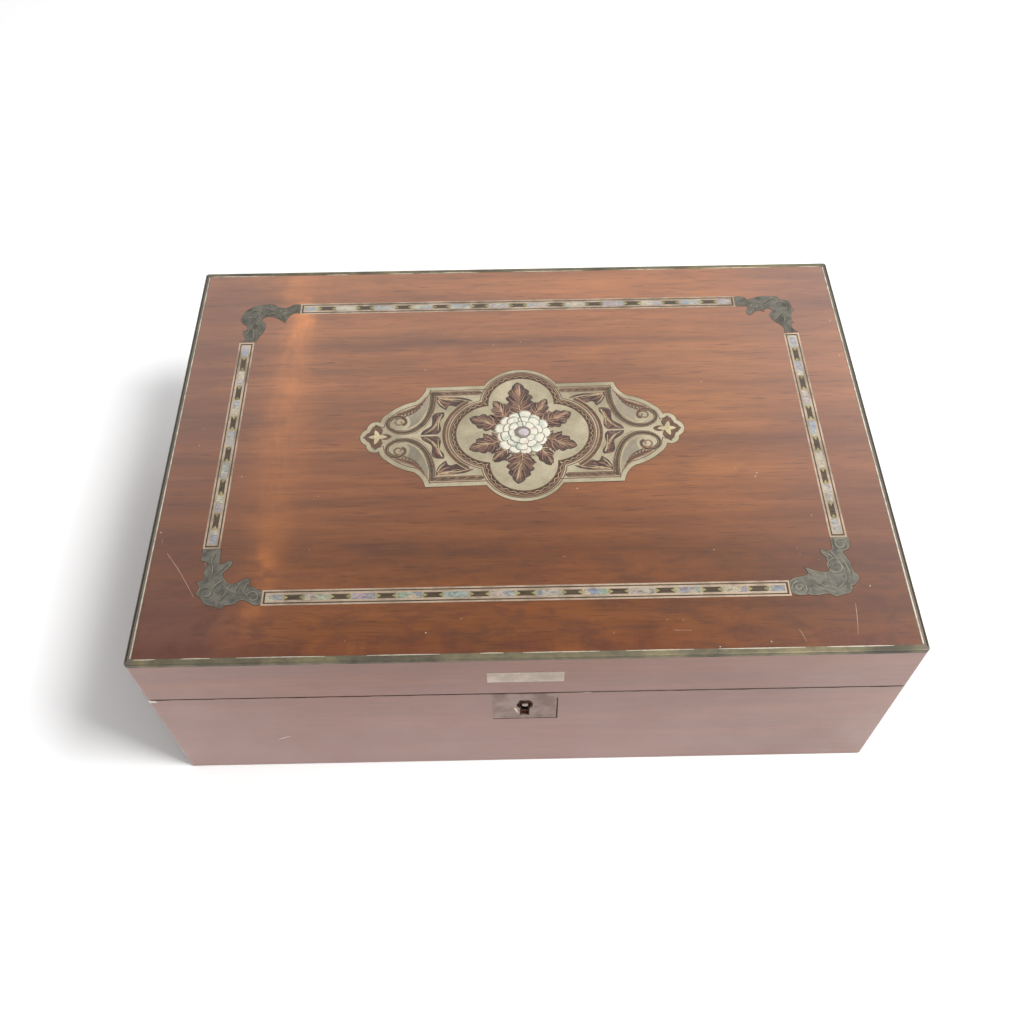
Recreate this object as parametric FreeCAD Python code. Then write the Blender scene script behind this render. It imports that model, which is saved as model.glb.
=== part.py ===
import FreeCAD, Part
import math
import os

# Inlaid writing box. Millimetres. Origin: centre of the underside. +Z up, the lock faces -Y.
Vector = FreeCAD.Vector
os.makedirs("parts", exist_ok=True)

# --- driving dimensions ------------------------------------------------------
WIDTH = 356.0            # X, 14 in
DEPTH = 249.0            # Y, 9 3/4 in
HEIGHT = 118.0           # Z, 4 5/8 in
SEAM_FRONT = 82.5        # height of the cut between lid and base on the lock side
SEAM_BACK = HEIGHT / 2   # at mid height, so the lid lies flat when it is folded right over
SEAM_GAP = 0.3
VENEER = 1.0
WALL = 10.0              # carcass boards, without veneer
BOTTOM = 6.0
TOP_BOARD = 7.0
ARRIS = 0.6              # rounding of long edges
CORNER_ROUND = 1.6       # rounding of upright edges
PROUD = 0.1              # how far plates stand above the veneer

EDGING_TOP = 3.0         # brass edging, width on the lid's top
EDGING_FACE = 2.3        # and on its faces

HINGE_AXIS_Y = DEPTH / 2 + 0.3
HINGE_X = 108.0
HINGE_LENGTH = 50.0
BARREL_R = 2.3
PIN_R = 1.1
PIN_CLEARANCE = 0.05
LEAF_THICK = 1.6
LEAF_WIDTH = 10.5

FLAP_THICK = 5.0
FLAP_LEATHER = 0.8
FLAP_DROP = 1.0          # leather surface below the seam plane
FLAP_GAP = 0.8
LEDGE = 6.0

PEN_SPACE = 52.0         # depth of the pen compartment, front to back
DIVIDER = 4.0
WELL = 52.0

LOCK_X = -1.1
LOCK_TRAVEL = 5.0

BAND_WIDTH = 8.2
LINE = 0.85              # brass stringing
FILLET = 0.9             # dark fillet between two brass lines
BAND_FRONT_Y = -91.3
BAND_BACK_Y = 94.6
BAND_LEFT_X = -147.8
BAND_RIGHT_X = 148.9
LONG_BAND = (-121.0, 121.5)
SIDE_BAND = (-64.0, 69.5)
LONG_BLOCKS = 11
SIDE_BLOCKS = 6
LONG_PITCH = 21.3
SIDE_PITCH = 20.4
SETTING = 10.4           # brass setting of each ebony block, along the band

CARTOUCHE_CENTRE = (0.8, 3.05)
CARTOUCHE_TURN = 1.0     # degrees, as the maker let it in slightly out of square

half_w = WIDTH / 2
half_d = DEPTH / 2
seam_tilt = math.degrees(math.atan2(SEAM_FRONT - SEAM_BACK, DEPTH))
veneer_top = HEIGHT - VENEER
inner_w = half_w - VENEER - WALL
inner_d = half_d - VENEER - WALL
inlay_top = HEIGHT + PROUD
parts = {}


# --- helpers -----------------------------------------------------------------
def box(x0, x1, y0, y1, z0, z1):
    return Part.makeBox(x1 - x0, y1 - y0, z1 - z0, Vector(x0, y0, z0))


def slab_yz(points, x0, x1):
    corners = [Vector(x0, y, z) for y, z in points]
    corners.append(corners[0])
    return Part.Face(Part.makePolygon(corners)).extrude(Vector(x1 - x0, 0, 0))


def on_seam(shape):
    """Tilt a shape modelled on a level seam plane (z = SEAM_BACK) to the real one."""
    tilted = shape.copy()
    tilted.rotate(Vector(0, half_d, SEAM_BACK), Vector(1, 0, 0), -seam_tilt)
    return tilted


def seam_z(y):
    return SEAM_BACK + (SEAM_FRONT - SEAM_BACK) * (half_d - y) / DEPTH


def before_tilt(y):
    """The place on the level seam plane that on_seam moves to y."""
    return half_d - (half_d - y) / math.cos(math.radians(seam_tilt))


def spline(points):
    curve = Part.BSplineCurve()
    curve.interpolate([Vector(x, y, 0) for x, y in points])
    return curve.toShape()


def outline(stretches, z0, z1):
    """Closed outline of stretches that meet at corners: two points are a line, more a curve."""
    edges = []
    for stretch in stretches:
        if len(stretch) == 2:
            edges.append(Part.makeLine(Vector(*stretch[0], 0), Vector(*stretch[1], 0)))
        elif len(stretch) == 3:
            edges.append(Part.Arc(*[Vector(x, y, 0) for x, y in stretch]).toShape())
        else:
            edges.append(spline(stretch))
    solid = Part.Face(Part.Wire(edges)).extrude(Vector(0, 0, z1 - z0))
    solid.translate(Vector(0, 0, z0))
    return solid


def polygon(points, z0, z1):
    corners = [Vector(x, y, z0) for x, y in points]
    corners.append(corners[0])
    return Part.Face(Part.makePolygon(corners)).extrude(Vector(0, 0, z1 - z0))


def ribbon(points, width_start, width_end, z0, z1):
    """A strip of even taper that follows a curve through the points."""
    curve = spline(points)
    steps = 26
    left = []
    right = []
    for i in range(steps + 1):
        t = i / steps
        u = curve.FirstParameter + (curve.LastParameter - curve.FirstParameter) * t
        p = curve.valueAt(u)
        d = curve.tangentAt(u)
        half = (width_start + (width_end - width_start) * t) / 2
        left.append((p.x - d.y * half, p.y + d.x * half))
        right.append((p.x + d.y * half, p.y - d.x * half))
    right.reverse()
    return outline([left, [left[-1], right[0]], right, [right[-1], left[0]]], z0, z1)


def leaf(base, tip, width, lobes, z0, z1):
    """A pointed leaf with a lobed edge, from its base to its tip."""
    length = math.hypot(tip[0] - base[0], tip[1] - base[1])
    ux = (tip[0] - base[0]) / length
    uy = (tip[1] - base[1]) / length
    steps = lobes * 4
    side = []
    for i in range(1, steps):
        t = i / steps
        swell = math.sin(math.pi * t ** 0.8) ** 0.75
        notch = 1 - 0.24 * (1 - abs(math.sin(math.pi * lobes * t))) * (1 if 0.1 < t < 0.9 else 0)
        side.append((t * length, width / 2 * swell * notch))
    profile = [(0, 0)] + side + [(length, 0)] + [(s, -w) for s, w in reversed(side)]
    return polygon([(base[0] + s * ux - w * uy, base[1] + s * uy + w * ux) for s, w in profile], z0, z1)


def mirrored(shape, in_x, in_y):
    result = shape.copy()
    if in_x:
        result = result.mirror(Vector(0, 0, 0), Vector(1, 0, 0))
    if in_y:
        result = result.mirror(Vector(0, 0, 0), Vector(0, 1, 0))
    return result


def four_ways(shape):
    return [mirrored(shape, x, y) for x in (False, True) for y in (False, True)]


def joined(shapes):
    result = shapes[0]
    for shape in shapes[1:]:
        result = result.fuse(shape)
    return result.removeSplitter()


def without(shape, cutters):
    for cutter in cutters:
        shape = shape.cut(cutter)
    return shape


def keep(name, solids):
    """Store one node: a solid, or a group of separate solids."""
    if not isinstance(solids, list):
        solids = [solids]
    flat = [solid for shape in solids for solid in shape.Solids]
    parts[name] = flat[0] if len(flat) == 1 else Part.makeCompound(flat)


# --- the two halves' outer shapes ----------------------------------------------
def outer_hull():
    hull = box(-half_w, half_w, -half_d, half_d, 0, HEIGHT)
    upright = [e for e in hull.Edges if abs(e.tangentAt(e.FirstParameter).z) > 0.9]
    hull = hull.makeFillet(CORNER_ROUND, upright)
    flat = [e for e in hull.Edges if abs(e.CenterOfMass.z) < 0.01 or abs(e.CenterOfMass.z - HEIGHT) < 0.01]
    return hull.makeFillet(ARRIS, flat)


hull = outer_hull()
reach = half_d + 10
half_gap = SEAM_GAP / 2
below_seam = slab_yz(
    [(-reach, -1), (reach, -1), (reach, seam_z(reach) - half_gap), (-reach, seam_z(-reach) - half_gap)],
    -half_w - 1, half_w + 1)
above_seam = slab_yz(
    [(-reach, HEIGHT + 1), (reach, HEIGHT + 1), (reach, seam_z(reach) + half_gap),
     (-reach, seam_z(-reach) + half_gap)],
    -half_w - 1, half_w + 1)
base_hull = hull.common(below_seam)
lid_hull = hull.common(above_seam)


# --- hinges: cutters and leaves ----------------------------------------------------
def barrel(radius, x0, x1):
    return Part.makeCylinder(radius, x1 - x0, Vector(x0, HINGE_AXIS_Y, SEAM_BACK), Vector(1, 0, 0))


def hinge_sides():
    return (-HINGE_X, HINGE_X)


leaf_y0 = half_d - LEAF_WIDTH
recess = []
for centre in hinge_sides():
    start = centre - HINGE_LENGTH / 2
    stop = centre + HINGE_LENGTH / 2
    leaves_bed = box(start, stop, leaf_y0, half_d + 1, SEAM_BACK - half_gap - LEAF_THICK,
                     SEAM_BACK + half_gap + LEAF_THICK)
    recess.append(on_seam(leaves_bed))
    recess.append(barrel(BARREL_R + 0.4, start - 0.3, stop + 0.3))


def hinge_leaf(centre, lower):
    """One leaf with its knuckles: three on the base's leaf, two on the lid's."""
    knuckle = HINGE_LENGTH / 5
    start = centre - HINGE_LENGTH / 2
    z0 = SEAM_BACK - half_gap - LEAF_THICK if lower else SEAM_BACK + half_gap
    plate = box(start, start + HINGE_LENGTH, leaf_y0, half_d - 0.4, z0, z0 + LEAF_THICK)
    plate = on_seam(plate).cut(barrel(BARREL_R + 0.2, start - 1, start + HINGE_LENGTH + 1))
    solids = [plate]
    for i in range(5):
        if (i % 2 == 0) == lower:
            x0 = start + i * knuckle + 0.1
            x1 = start + (i + 1) * knuckle - 0.1
            arm = box(x0, x1, half_d - 4, HINGE_AXIS_Y - 0.2, z0, z0 + LEAF_THICK)
            solids.append(on_seam(arm))
            solids.append(barrel(BARREL_R, x0, x1))
    return joined(solids).cut(barrel(PIN_R + PIN_CLEARANCE, start - 1, start + HINGE_LENGTH + 1))


SCREW_HEAD_R = 2.0
SCREW_LENGTH = 8.0


def screw(x, y, z, down):
    """Countersunk wood screw with a slotted head, driven down or up from z."""
    sign = -1 if down else 1
    axis = Vector(0, 0, sign)
    head = Part.makeCone(SCREW_HEAD_R, 1.1, 1.1, Vector(x, y, z), axis)
    shank = Part.makeCylinder(1.1, SCREW_LENGTH - 3, Vector(x, y, z), axis)
    tip = Part.makeCone(1.1, 0.2, 3, Vector(x, y, z + sign * (SCREW_LENGTH - 3)), axis)
    slot = box(x - 2.2, x + 2.2, y - 0.25, y + 0.25, z - 0.4, z + 0.4)
    return joined([head, shank, tip]).cut(slot)


def seam_screws(places, lower, drop):
    z = SEAM_BACK - half_gap - drop if lower else SEAM_BACK + half_gap + drop
    return [on_seam(screw(x, y, z, lower)) for x, y in places]


def screw_seats(places, lower, drop):
    """Clearance for the screws, without the head's slot."""
    sign = -1 if lower else 1
    z = SEAM_BACK + sign * (half_gap + drop)
    axis = Vector(0, 0, sign)
    seats = []
    for x, y in places:
        head = Part.makeCone(SCREW_HEAD_R, 1.1, 1.1, Vector(x, y, z), axis)
        mouth = Part.makeCylinder(SCREW_HEAD_R, drop + 1, Vector(x, y, z), Vector(0, 0, -sign))
        shank = Part.makeCylinder(1.1, SCREW_LENGTH, Vector(x, y, z), axis)
        seats.append(on_seam(joined([head, mouth, shank])))
    return seats


hinge_screw_places = [(centre + dx, leaf_y0 + 4.5) for centre in hinge_sides() for dx in (-18, 0, 18)]
hinge_screw_drop = 0.1
base_seats = screw_seats(hinge_screw_places, True, hinge_screw_drop)
lid_seats = screw_seats(hinge_screw_places, False, hinge_screw_drop)
base_leaves = [without(hinge_leaf(c, True), base_seats) for c in hinge_sides()]
lid_leaves = [without(hinge_leaf(c, False), lid_seats) for c in hinge_sides()]
keep("hinge_base_leaves", base_leaves)
keep("hinge_lid_leaves", lid_leaves)
pins = []
for centre in hinge_sides():
    pins.append(barrel(PIN_R, centre - HINGE_LENGTH / 2, centre + HINGE_LENGTH / 2))
keep("hinge_pins", pins)

# --- lock: case, top plate, bolt, strike plate ---------------------------------------
CASE_HALF = 24.0
case_y0 = -half_d + VENEER + 1.8
case_y1 = -inner_d
case_top = seam_z(case_y1) - half_gap - 2.6
case_bottom = 53.0
PLATE_HALF = 36.0
plate_thick = 2.0
LINK_X = 12.0            # the two links, either side of the keyhole
LINK_WIDE = 2.6
key_z = 69.0             # centre of the keyhole's round part
KEY_R = 3.3


def keyhole(radius, slot_half, y0, y1):
    round_part = Part.makeCylinder(radius, y1 - y0, Vector(LOCK_X, y0, key_z), Vector(0, 1, 0))
    slot = slab_yz([(y0, key_z), (y1, key_z), (y1, key_z - 11.2), (y0, key_z - 11.2)],
                   LOCK_X - slot_half, LOCK_X + slot_half)
    return round_part.fuse(slot)


liner_bore = keyhole(KEY_R, 1.7, -half_d - 1, case_y0 + 1.5)
liner_skin = keyhole(KEY_R + 0.6, 2.3, -half_d - PROUD, case_y0)
keep("keyhole_liner", liner_skin.cut(liner_bore))

plate_y = before_tilt(-half_d + 6.2)
top_plate = box(LOCK_X - PLATE_HALF, LOCK_X + PLATE_HALF, plate_y - 4.2, plate_y + 4.2,
                SEAM_BACK - half_gap - plate_thick, SEAM_BACK - half_gap)
link_y = before_tilt(-half_d + 7.3)
LINK_DEEP = 4.6          # front to back
LINK_DROP = 8.6          # how far the links hang below the seam plane
HOLE_DEEP = 2.8
HOLE_LOW = 7.2
HOLE_HIGH = 3.4


def link_boxes(grow, z0, z1):
    spots = []
    for side in (-1, 1):
        x = LOCK_X + side * LINK_X
        spots.append(box(x - LINK_WIDE / 2 - grow, x + LINK_WIDE / 2 + grow, link_y - LINK_DEEP / 2 - grow,
                         link_y + LINK_DEEP / 2 + grow, SEAM_BACK + z0, SEAM_BACK + z1))
    return spots


plate_screw_places = [(LOCK_X + dx, plate_y) for dx in (-PLATE_HALF + 5, PLATE_HALF - 5)]
plate_base_seats = screw_seats(plate_screw_places, True, hinge_screw_drop)
plate_lid_seats = screw_seats(plate_screw_places, False, hinge_screw_drop)
plate_solid = on_seam(top_plate)
slots = [on_seam(s) for s in link_boxes(0.9, -12, 1)]
keep("lock_top_plate", without(plate_solid, slots + plate_base_seats))

case_outer = box(LOCK_X - CASE_HALF, LOCK_X + CASE_HALF, case_y0, case_y1, case_bottom, case_top)
case_inner = box(LOCK_X - CASE_HALF + 1, LOCK_X + CASE_HALF - 1, case_y0 + 1, case_y1 - 1,
                 case_bottom + 1, case_top - 1)
lock_pin = Part.makeCylinder(1.25, case_y1 - 0.5 - case_y0 + 1.6, Vector(LOCK_X, case_y0 - 1.6, key_z),
                             Vector(0, 1, 0))
case = without(case_outer.cut(case_inner), [keyhole(KEY_R, 1.7, case_y0 - 1, case_y0 + 2)] + slots)
keep("lock_case", case.fuse(lock_pin))     # the pin is riveted into the back of the case


def lock_bolt():
    """A bar along the top of the case with two fingers that slide through the links."""
    y0 = -half_d + 5.9
    y1 = y0 + 1.8
    z_seam = seam_z(y0)
    z_bar = z_seam - 11.0
    post = 2.5
    solids = []
    posts = []
    for side in (-1, 1):
        link_face = LOCK_X + side * LINK_X - LINK_WIDE / 2
        post_x = link_face - LOCK_TRAVEL - 0.4
        posts.append(post_x)
        solids.append(box(post_x - post, post_x, y0, y1, z_bar, z_seam - 4.7))
        solids.append(box(post_x - 1, link_face - 0.7, y0, y1, z_seam - 6.8, z_seam - 4.7))
    bar = box(posts[0] - post, posts[1], y0, y1, z_bar, z_bar + 1.8)
    return joined([bar] + solids)


keep("lock_bolt", lock_bolt())


def strike():
    """Plate under the lid's front rail with two links that drop into the lock."""
    z0 = SEAM_BACK + half_gap
    solid = box(LOCK_X - PLATE_HALF, LOCK_X + PLATE_HALF, plate_y - 4.2, plate_y + 4.2, z0, z0 + plate_thick)
    links = link_boxes(0, -LINK_DROP, half_gap + 0.5)
    holes = []
    for side in (-1, 1):
        x = LOCK_X + side * LINK_X
        holes.append(box(x - 3, x + 3, link_y - HOLE_DEEP / 2, link_y + HOLE_DEEP / 2,
                         SEAM_BACK - HOLE_LOW, SEAM_BACK - HOLE_HIGH))
    return on_seam(without(joined([solid] + links), holes))


keep("strike_plate", without(strike(), plate_lid_seats))
strike_bed = on_seam(box(LOCK_X - PLATE_HALF, LOCK_X + PLATE_HALF, plate_y - 4.2, plate_y + 4.2,
                         SEAM_BACK, SEAM_BACK + half_gap + plate_thick))
keep("base_screws", seam_screws(hinge_screw_places + plate_screw_places, True, hinge_screw_drop))
keep("lid_screws", seam_screws(hinge_screw_places + plate_screw_places, False, hinge_screw_drop))

# --- base carcass -------------------------------------------------------------------
board_w = half_w - VENEER
board_d = half_d - VENEER
lock_mortise = [case_outer, plate_solid, liner_skin, keyhole(KEY_R, 1.7, -half_d - 1, case_y1)]
seats_below = base_seats + plate_base_seats
base_front = box(-board_w, board_w, -board_d, -inner_d, 0, HEIGHT).common(base_hull)
keep("base_front_board", without(base_front, lock_mortise + slots + seats_below))
base_back = box(-board_w, board_w, inner_d, board_d, 0, HEIGHT).common(base_hull)
keep("base_back_board", without(base_back, recess + base_seats))
for name, side in (("base_left_board", -1), ("base_right_board", 1)):
    x_pair = sorted((side * board_w, side * inner_w))
    keep(name, box(x_pair[0], x_pair[1], -inner_d, inner_d, 0, HEIGHT).common(base_hull))
keep("base_bottom_board", box(-inner_w, inner_w, -inner_d, inner_d, 0, BOTTOM))

ESCUTCHEON = (-16.4, 14.2, 54.3, 81.4)   # x0, x1, z0, z1
NAME_PLATE = (-18.3, 16.9, 94.4, 104.0)


def face_plate(rect, proud):
    return box(rect[0], rect[1], -half_d - proud, -board_d, rect[2], rect[3])


escutcheon = face_plate(ESCUTCHEON, PROUD)
keep("escutcheon_plate", escutcheon.cut(liner_skin).cut(liner_bore))
front_skin = box(-half_w, half_w, -half_d, -board_d, 0, HEIGHT)
back_skin = box(-half_w, half_w, board_d, half_d, 0, HEIGHT)
side_skins = {"left": box(-half_w, -board_w, -board_d, board_d, 0, HEIGHT),
              "right": box(board_w, half_w, -board_d, board_d, 0, HEIGHT)}
keep("base_front_veneer", front_skin.common(base_hull).cut(face_plate(ESCUTCHEON, 1)))
keep("base_back_veneer", without(back_skin.common(base_hull), recess))
for side, skin in side_skins.items():
    keep("base_" + side + "_veneer", skin.common(base_hull))

# --- base interior --------------------------------------------------------------------
wall_y0 = -inner_d + PEN_SPACE
wall_y1 = wall_y0 + DIVIDER


def under_seam(x0, x1, y0, y1, z0, drop):
    """A board whose top edge follows the seam plane, some way below it."""
    points = [(y0, z0), (y1, z0), (y1, seam_z(y1) - drop), (y0, seam_z(y0) - drop)]
    return slab_yz(points, x0, x1)


keep("compartment_wall", under_seam(-inner_w, inner_w, wall_y0, wall_y1, BOTTOM, FLAP_DROP))
divider_x = inner_w - WELL - DIVIDER
dividers = []
for side in (-1, 1):
    x_pair = sorted((side * divider_x, side * (divider_x + DIVIDER)))
    dividers.append(under_seam(x_pair[0], x_pair[1], -inner_d, wall_y0, BOTTOM, 3.0))
keep("well_dividers", dividers)

TRAY_TOP = 72.0
TRAY_DEEP = 24.0
SCOOP_R = 21.0
bearer_top = TRAY_TOP - TRAY_DEEP
bearers = []
for side in (-1, 1):
    x_pair = sorted((side * divider_x, side * (divider_x - 8)))
    bearers.append(box(x_pair[0], x_pair[1], -inner_d, wall_y0, bearer_top - 8, bearer_top))


def pen_tray():
    """A block scooped out for pens, with a shallow square well at its right end."""
    y0 = -inner_d + 0.5
    y1 = wall_y0 - 0.5
    block = box(-divider_x + 0.5, divider_x - 0.5, y0, y1, bearer_top, TRAY_TOP)
    middle = (y0 + y1) / 2
    scoop_len = 2 * divider_x - 60
    start = Vector(-divider_x + 8, middle, TRAY_TOP + 3)
    scoop = Part.makeCylinder(SCOOP_R, scoop_len, start, Vector(1, 0, 0))
    pocket = box(divider_x - 46, divider_x - 7, y0 + 6, y1 - 6, TRAY_TOP - 16, TRAY_TOP + 1)
    pocket = pocket.makeFillet(3, [e for e in pocket.Edges if abs(e.tangentAt(e.FirstParameter).z) > 0.9])
    return block.cut(scoop).cut(pocket)


keep("pen_tray", pen_tray())

well_x = divider_x + DIVIDER + WELL / 2
well_y = -inner_d + PEN_SPACE / 2
BOTTLE = 40.0
BOTTLE_HIGH = 44.0
NECK_R = 11.0


def ink_bottle(x):
    outside = box(x - BOTTLE / 2, x + BOTTLE / 2, well_y - BOTTLE / 2, well_y + BOTTLE / 2,
                  BOTTOM, BOTTOM + BOTTLE_HIGH)
    outside = outside.makeFillet(3, outside.Edges)
    neck = Part.makeCylinder(NECK_R, 6, Vector(x, well_y, BOTTOM + BOTTLE_HIGH - 1))
    inside = Part.makeCylinder(15, BOTTLE_HIGH - 8, Vector(x, well_y, BOTTOM + 4))
    mouth = Part.makeCylinder(8, 14, Vector(x, well_y, BOTTOM + BOTTLE_HIGH - 6))
    return outside.fuse(neck).cut(inside).cut(mouth)


def bottle_cap(x):
    z0 = BOTTOM + BOTTLE_HIGH
    skirt = Part.makeCylinder(NECK_R + 2.2, 9, Vector(x, well_y, z0))
    crown = Part.makeSphere(26, Vector(x, well_y, z0 - 13.5))
    skirt = skirt.fuse(Part.makeCylinder(NECK_R + 1.2, 6, Vector(x, well_y, z0 + 8)).common(crown))
    return skirt.cut(Part.makeCylinder(NECK_R, 5, Vector(x, well_y, z0)))


keep("ink_bottles", [ink_bottle(side * well_x) for side in (-1, 1)])
keep("ink_bottle_caps", [bottle_cap(side * well_x) for side in (-1, 1)])


# --- writing flaps ----------------------------------------------------------------------
def flap_layer(y0, y1, z0, z1):
    width = inner_w - FLAP_GAP
    return on_seam(box(-width, width, y0, y1, SEAM_BACK + z0, SEAM_BACK + z1))


flap_pivot_y = inner_d - FLAP_GAP
flap_leather_top = -FLAP_DROP
flap_leather_low = flap_leather_top - FLAP_LEATHER
flap_low = flap_leather_low - FLAP_THICK
base_flap_front = before_tilt(wall_y1 + FLAP_GAP)
lid_flap_front = before_tilt(-inner_d + FLAP_GAP + 0.8)
BORDER = 14.0            # veneered margin round the leather


def flap(y0, y1, sign):
    """A board with its leather let into the writing side. sign -1: base, +1: lid."""
    skin = sorted((sign * FLAP_DROP, sign * (FLAP_DROP + FLAP_LEATHER)))
    whole = sorted((sign * FLAP_DROP, sign * (FLAP_DROP + FLAP_LEATHER + FLAP_THICK)))
    board = flap_layer(y0, y1, whole[0], whole[1])
    width = inner_w - FLAP_GAP - BORDER
    leather = on_seam(box(-width, width, y0 + BORDER, y1 - BORDER, SEAM_BACK + skin[0], SEAM_BACK + skin[1]))
    return board.cut(leather), leather


base_board, base_leather = flap(base_flap_front, flap_pivot_y, -1)
lid_board, lid_leather = flap(lid_flap_front, flap_pivot_y, 1)
keep("base_flap_board", base_board)
keep("base_flap_leather", base_leather)
keep("lid_flap_board", lid_board)
keep("lid_flap_leather", lid_leather)


def ledges(y0, y1, sign, top_limit):
    """Strips along both side walls and across the far end that the closed flap rests on."""
    rest = FLAP_DROP + FLAP_LEATHER + FLAP_THICK + 0.3
    z_pair = sorted((sign * rest, sign * (rest + LEDGE)))
    strips = []
    for side in (-1, 1):
        x_pair = sorted((side * inner_w, side * (inner_w - LEDGE)))
        strips.append(on_seam(box(x_pair[0], x_pair[1], y0 + LEDGE, y1, SEAM_BACK + z_pair[0],
                                  SEAM_BACK + z_pair[1])).common(top_limit))
    strips.append(on_seam(box(-inner_w, inner_w, y0, y0 + LEDGE, SEAM_BACK + z_pair[0],
                              SEAM_BACK + z_pair[1])).common(top_limit))
    return strips


base_room = box(-inner_w, inner_w, wall_y1, inner_d, BOTTOM, HEIGHT)
lid_room = box(-inner_w, inner_w, -inner_d, inner_d, 0, HEIGHT - VENEER - TOP_BOARD)
keep("base_ledges", ledges(wall_y1 - 2, inner_d - 6, -1, base_room) + bearers)
keep("lid_ledges", ledges(-inner_d - 2, inner_d - 6, 1, lid_room))

# --- lid carcass ---------------------------------------------------------------------------
ceiling = HEIGHT - VENEER - TOP_BOARD
edging_outer = box(-half_w, half_w, -half_d, half_d, HEIGHT - EDGING_FACE, HEIGHT)
edging_inner = box(-half_w + EDGING_TOP, half_w - EDGING_TOP, -half_d + EDGING_TOP, half_d - EDGING_TOP,
                   HEIGHT - EDGING_FACE, HEIGHT)
edging = edging_outer.cut(edging_inner).common(hull)
top_blank = box(-board_w, board_w, -board_d, board_d, ceiling, veneer_top)
keep("lid_top_board", top_blank.common(hull).cut(edging))
lid_walls_top = box(-half_w, half_w, -half_d, half_d, 0, ceiling)
lid_walls = lid_hull.common(lid_walls_top)
lid_front = box(-board_w, board_w, -board_d, -inner_d, 0, HEIGHT).common(lid_walls)
keep("lid_front_rail", without(lid_front, [strike_bed] + plate_lid_seats))
lid_back = box(-board_w, board_w, inner_d, board_d, 0, HEIGHT).common(lid_walls)
keep("lid_back_rail", without(lid_back, recess + lid_seats))
for name, side in (("lid_left_rail", -1), ("lid_right_rail", 1)):
    x_pair = sorted((side * board_w, side * inner_w))
    keep(name, box(x_pair[0], x_pair[1], -inner_d, inner_d, 0, HEIGHT).common(lid_walls))
name_plate = face_plate(NAME_PLATE, PROUD)
keep("name_plate", name_plate)
keep("lid_front_veneer", front_skin.common(lid_hull).cut(edging).cut(face_plate(NAME_PLATE, 1)))
keep("lid_back_veneer", without(back_skin.common(lid_hull).cut(edging), recess))
for side, skin in side_skins.items():
    keep("lid_" + side + "_veneer", skin.common(lid_hull).cut(edging))


def mitred(side):
    """One of the four edging strips, cut at 45 degrees at both ends."""
    a = half_w + 1
    b = half_d + 1
    far = 12.0
    wedges = {
        "front": [(-a, -b), (a, -b), (a - far, -b + far), (-a + far, -b + far)],
        "back": [(-a, b), (a, b), (a - far, b - far), (-a + far, b - far)],
        "left": [(-a, -b), (-a, b), (-a + far, b - far), (-a + far, -b + far)],
        "right": [(a, -b), (a, b), (a - far, b - far), (a - far, -b + far)],
    }
    return edging.common(polygon(wedges[side], HEIGHT - 10, HEIGHT + 10))


keep("lid_edging", [mitred(side) for side in ("front", "back", "left", "right")])


# --- bands of brass, ebony and shell ----------------------------------------------------------
def frame_ring(length, width, line, z0, z1):
    outer = box(-length / 2, length / 2, -width / 2, width / 2, z0, z1)
    inner = box(-length / 2 + line, length / 2 - line, -width / 2 + line, width / 2 - line, z0 - 1, z1 + 1)
    return outer.cut(inner)


def block_shape(x):
    """Ebony block with a notch in each end."""
    long_half = 4.5
    notch = 3.0
    tall = 1.4
    points = [(x - long_half, -tall), (x + long_half, -tall), (x + notch, 0), (x + long_half, tall),
              (x - long_half, tall), (x - notch, 0)]
    return polygon(points, veneer_top, HEIGHT)


def band(length, count, pitch):
    """One band along X about the origin: brass lines and settings, fillets, blocks, shell."""
    brass = [frame_ring(length, BAND_WIDTH, LINE, veneer_top, HEIGHT)]
    middle_len = length - 2 * LINE
    middle_wide = BAND_WIDTH - 2 * LINE
    dark = [frame_ring(middle_len, middle_wide, FILLET, veneer_top, HEIGHT)]
    inner_len = middle_len - 2 * FILLET
    inner_wide = middle_wide - 2 * FILLET
    brass.append(frame_ring(inner_len, inner_wide, LINE - 0.1, veneer_top, HEIGHT))
    strip_len = inner_len - 2 * (LINE - 0.1)
    strip_half = inner_wide / 2 - (LINE - 0.1)
    blocks = []
    shell = []
    centres = [(i - (count - 1) / 2) * pitch for i in range(count)]
    edge = -strip_len / 2
    for x in centres:
        block = block_shape(x)
        setting = box(x - SETTING / 2, x + SETTING / 2, -strip_half, strip_half, veneer_top, HEIGHT)
        blocks.append(block)
        brass.append(setting.cut(block))
        shell.append(box(edge, x - SETTING / 2, -strip_half, strip_half, veneer_top, HEIGHT))
        edge = x + SETTING / 2
    shell.append(box(edge, strip_len / 2, -strip_half, strip_half, veneer_top, HEIGHT))
    field = box(-length / 2, length / 2, -BAND_WIDTH / 2, BAND_WIDTH / 2, veneer_top - 1, HEIGHT + 1)
    return {"brass": brass, "dark": dark, "blocks": blocks, "shell": shell, "field": [field]}


def place_band(pieces, x, y, turn):
    placed = {}
    for kind, shapes in pieces.items():
        placed[kind] = []
        for shape in shapes:
            moved = shape.copy()
            moved.rotate(Vector(0, 0, 0), Vector(0, 0, 1), turn)
            moved.translate(Vector(x, y, 0))
            placed[kind].append(moved)
    return placed


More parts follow.
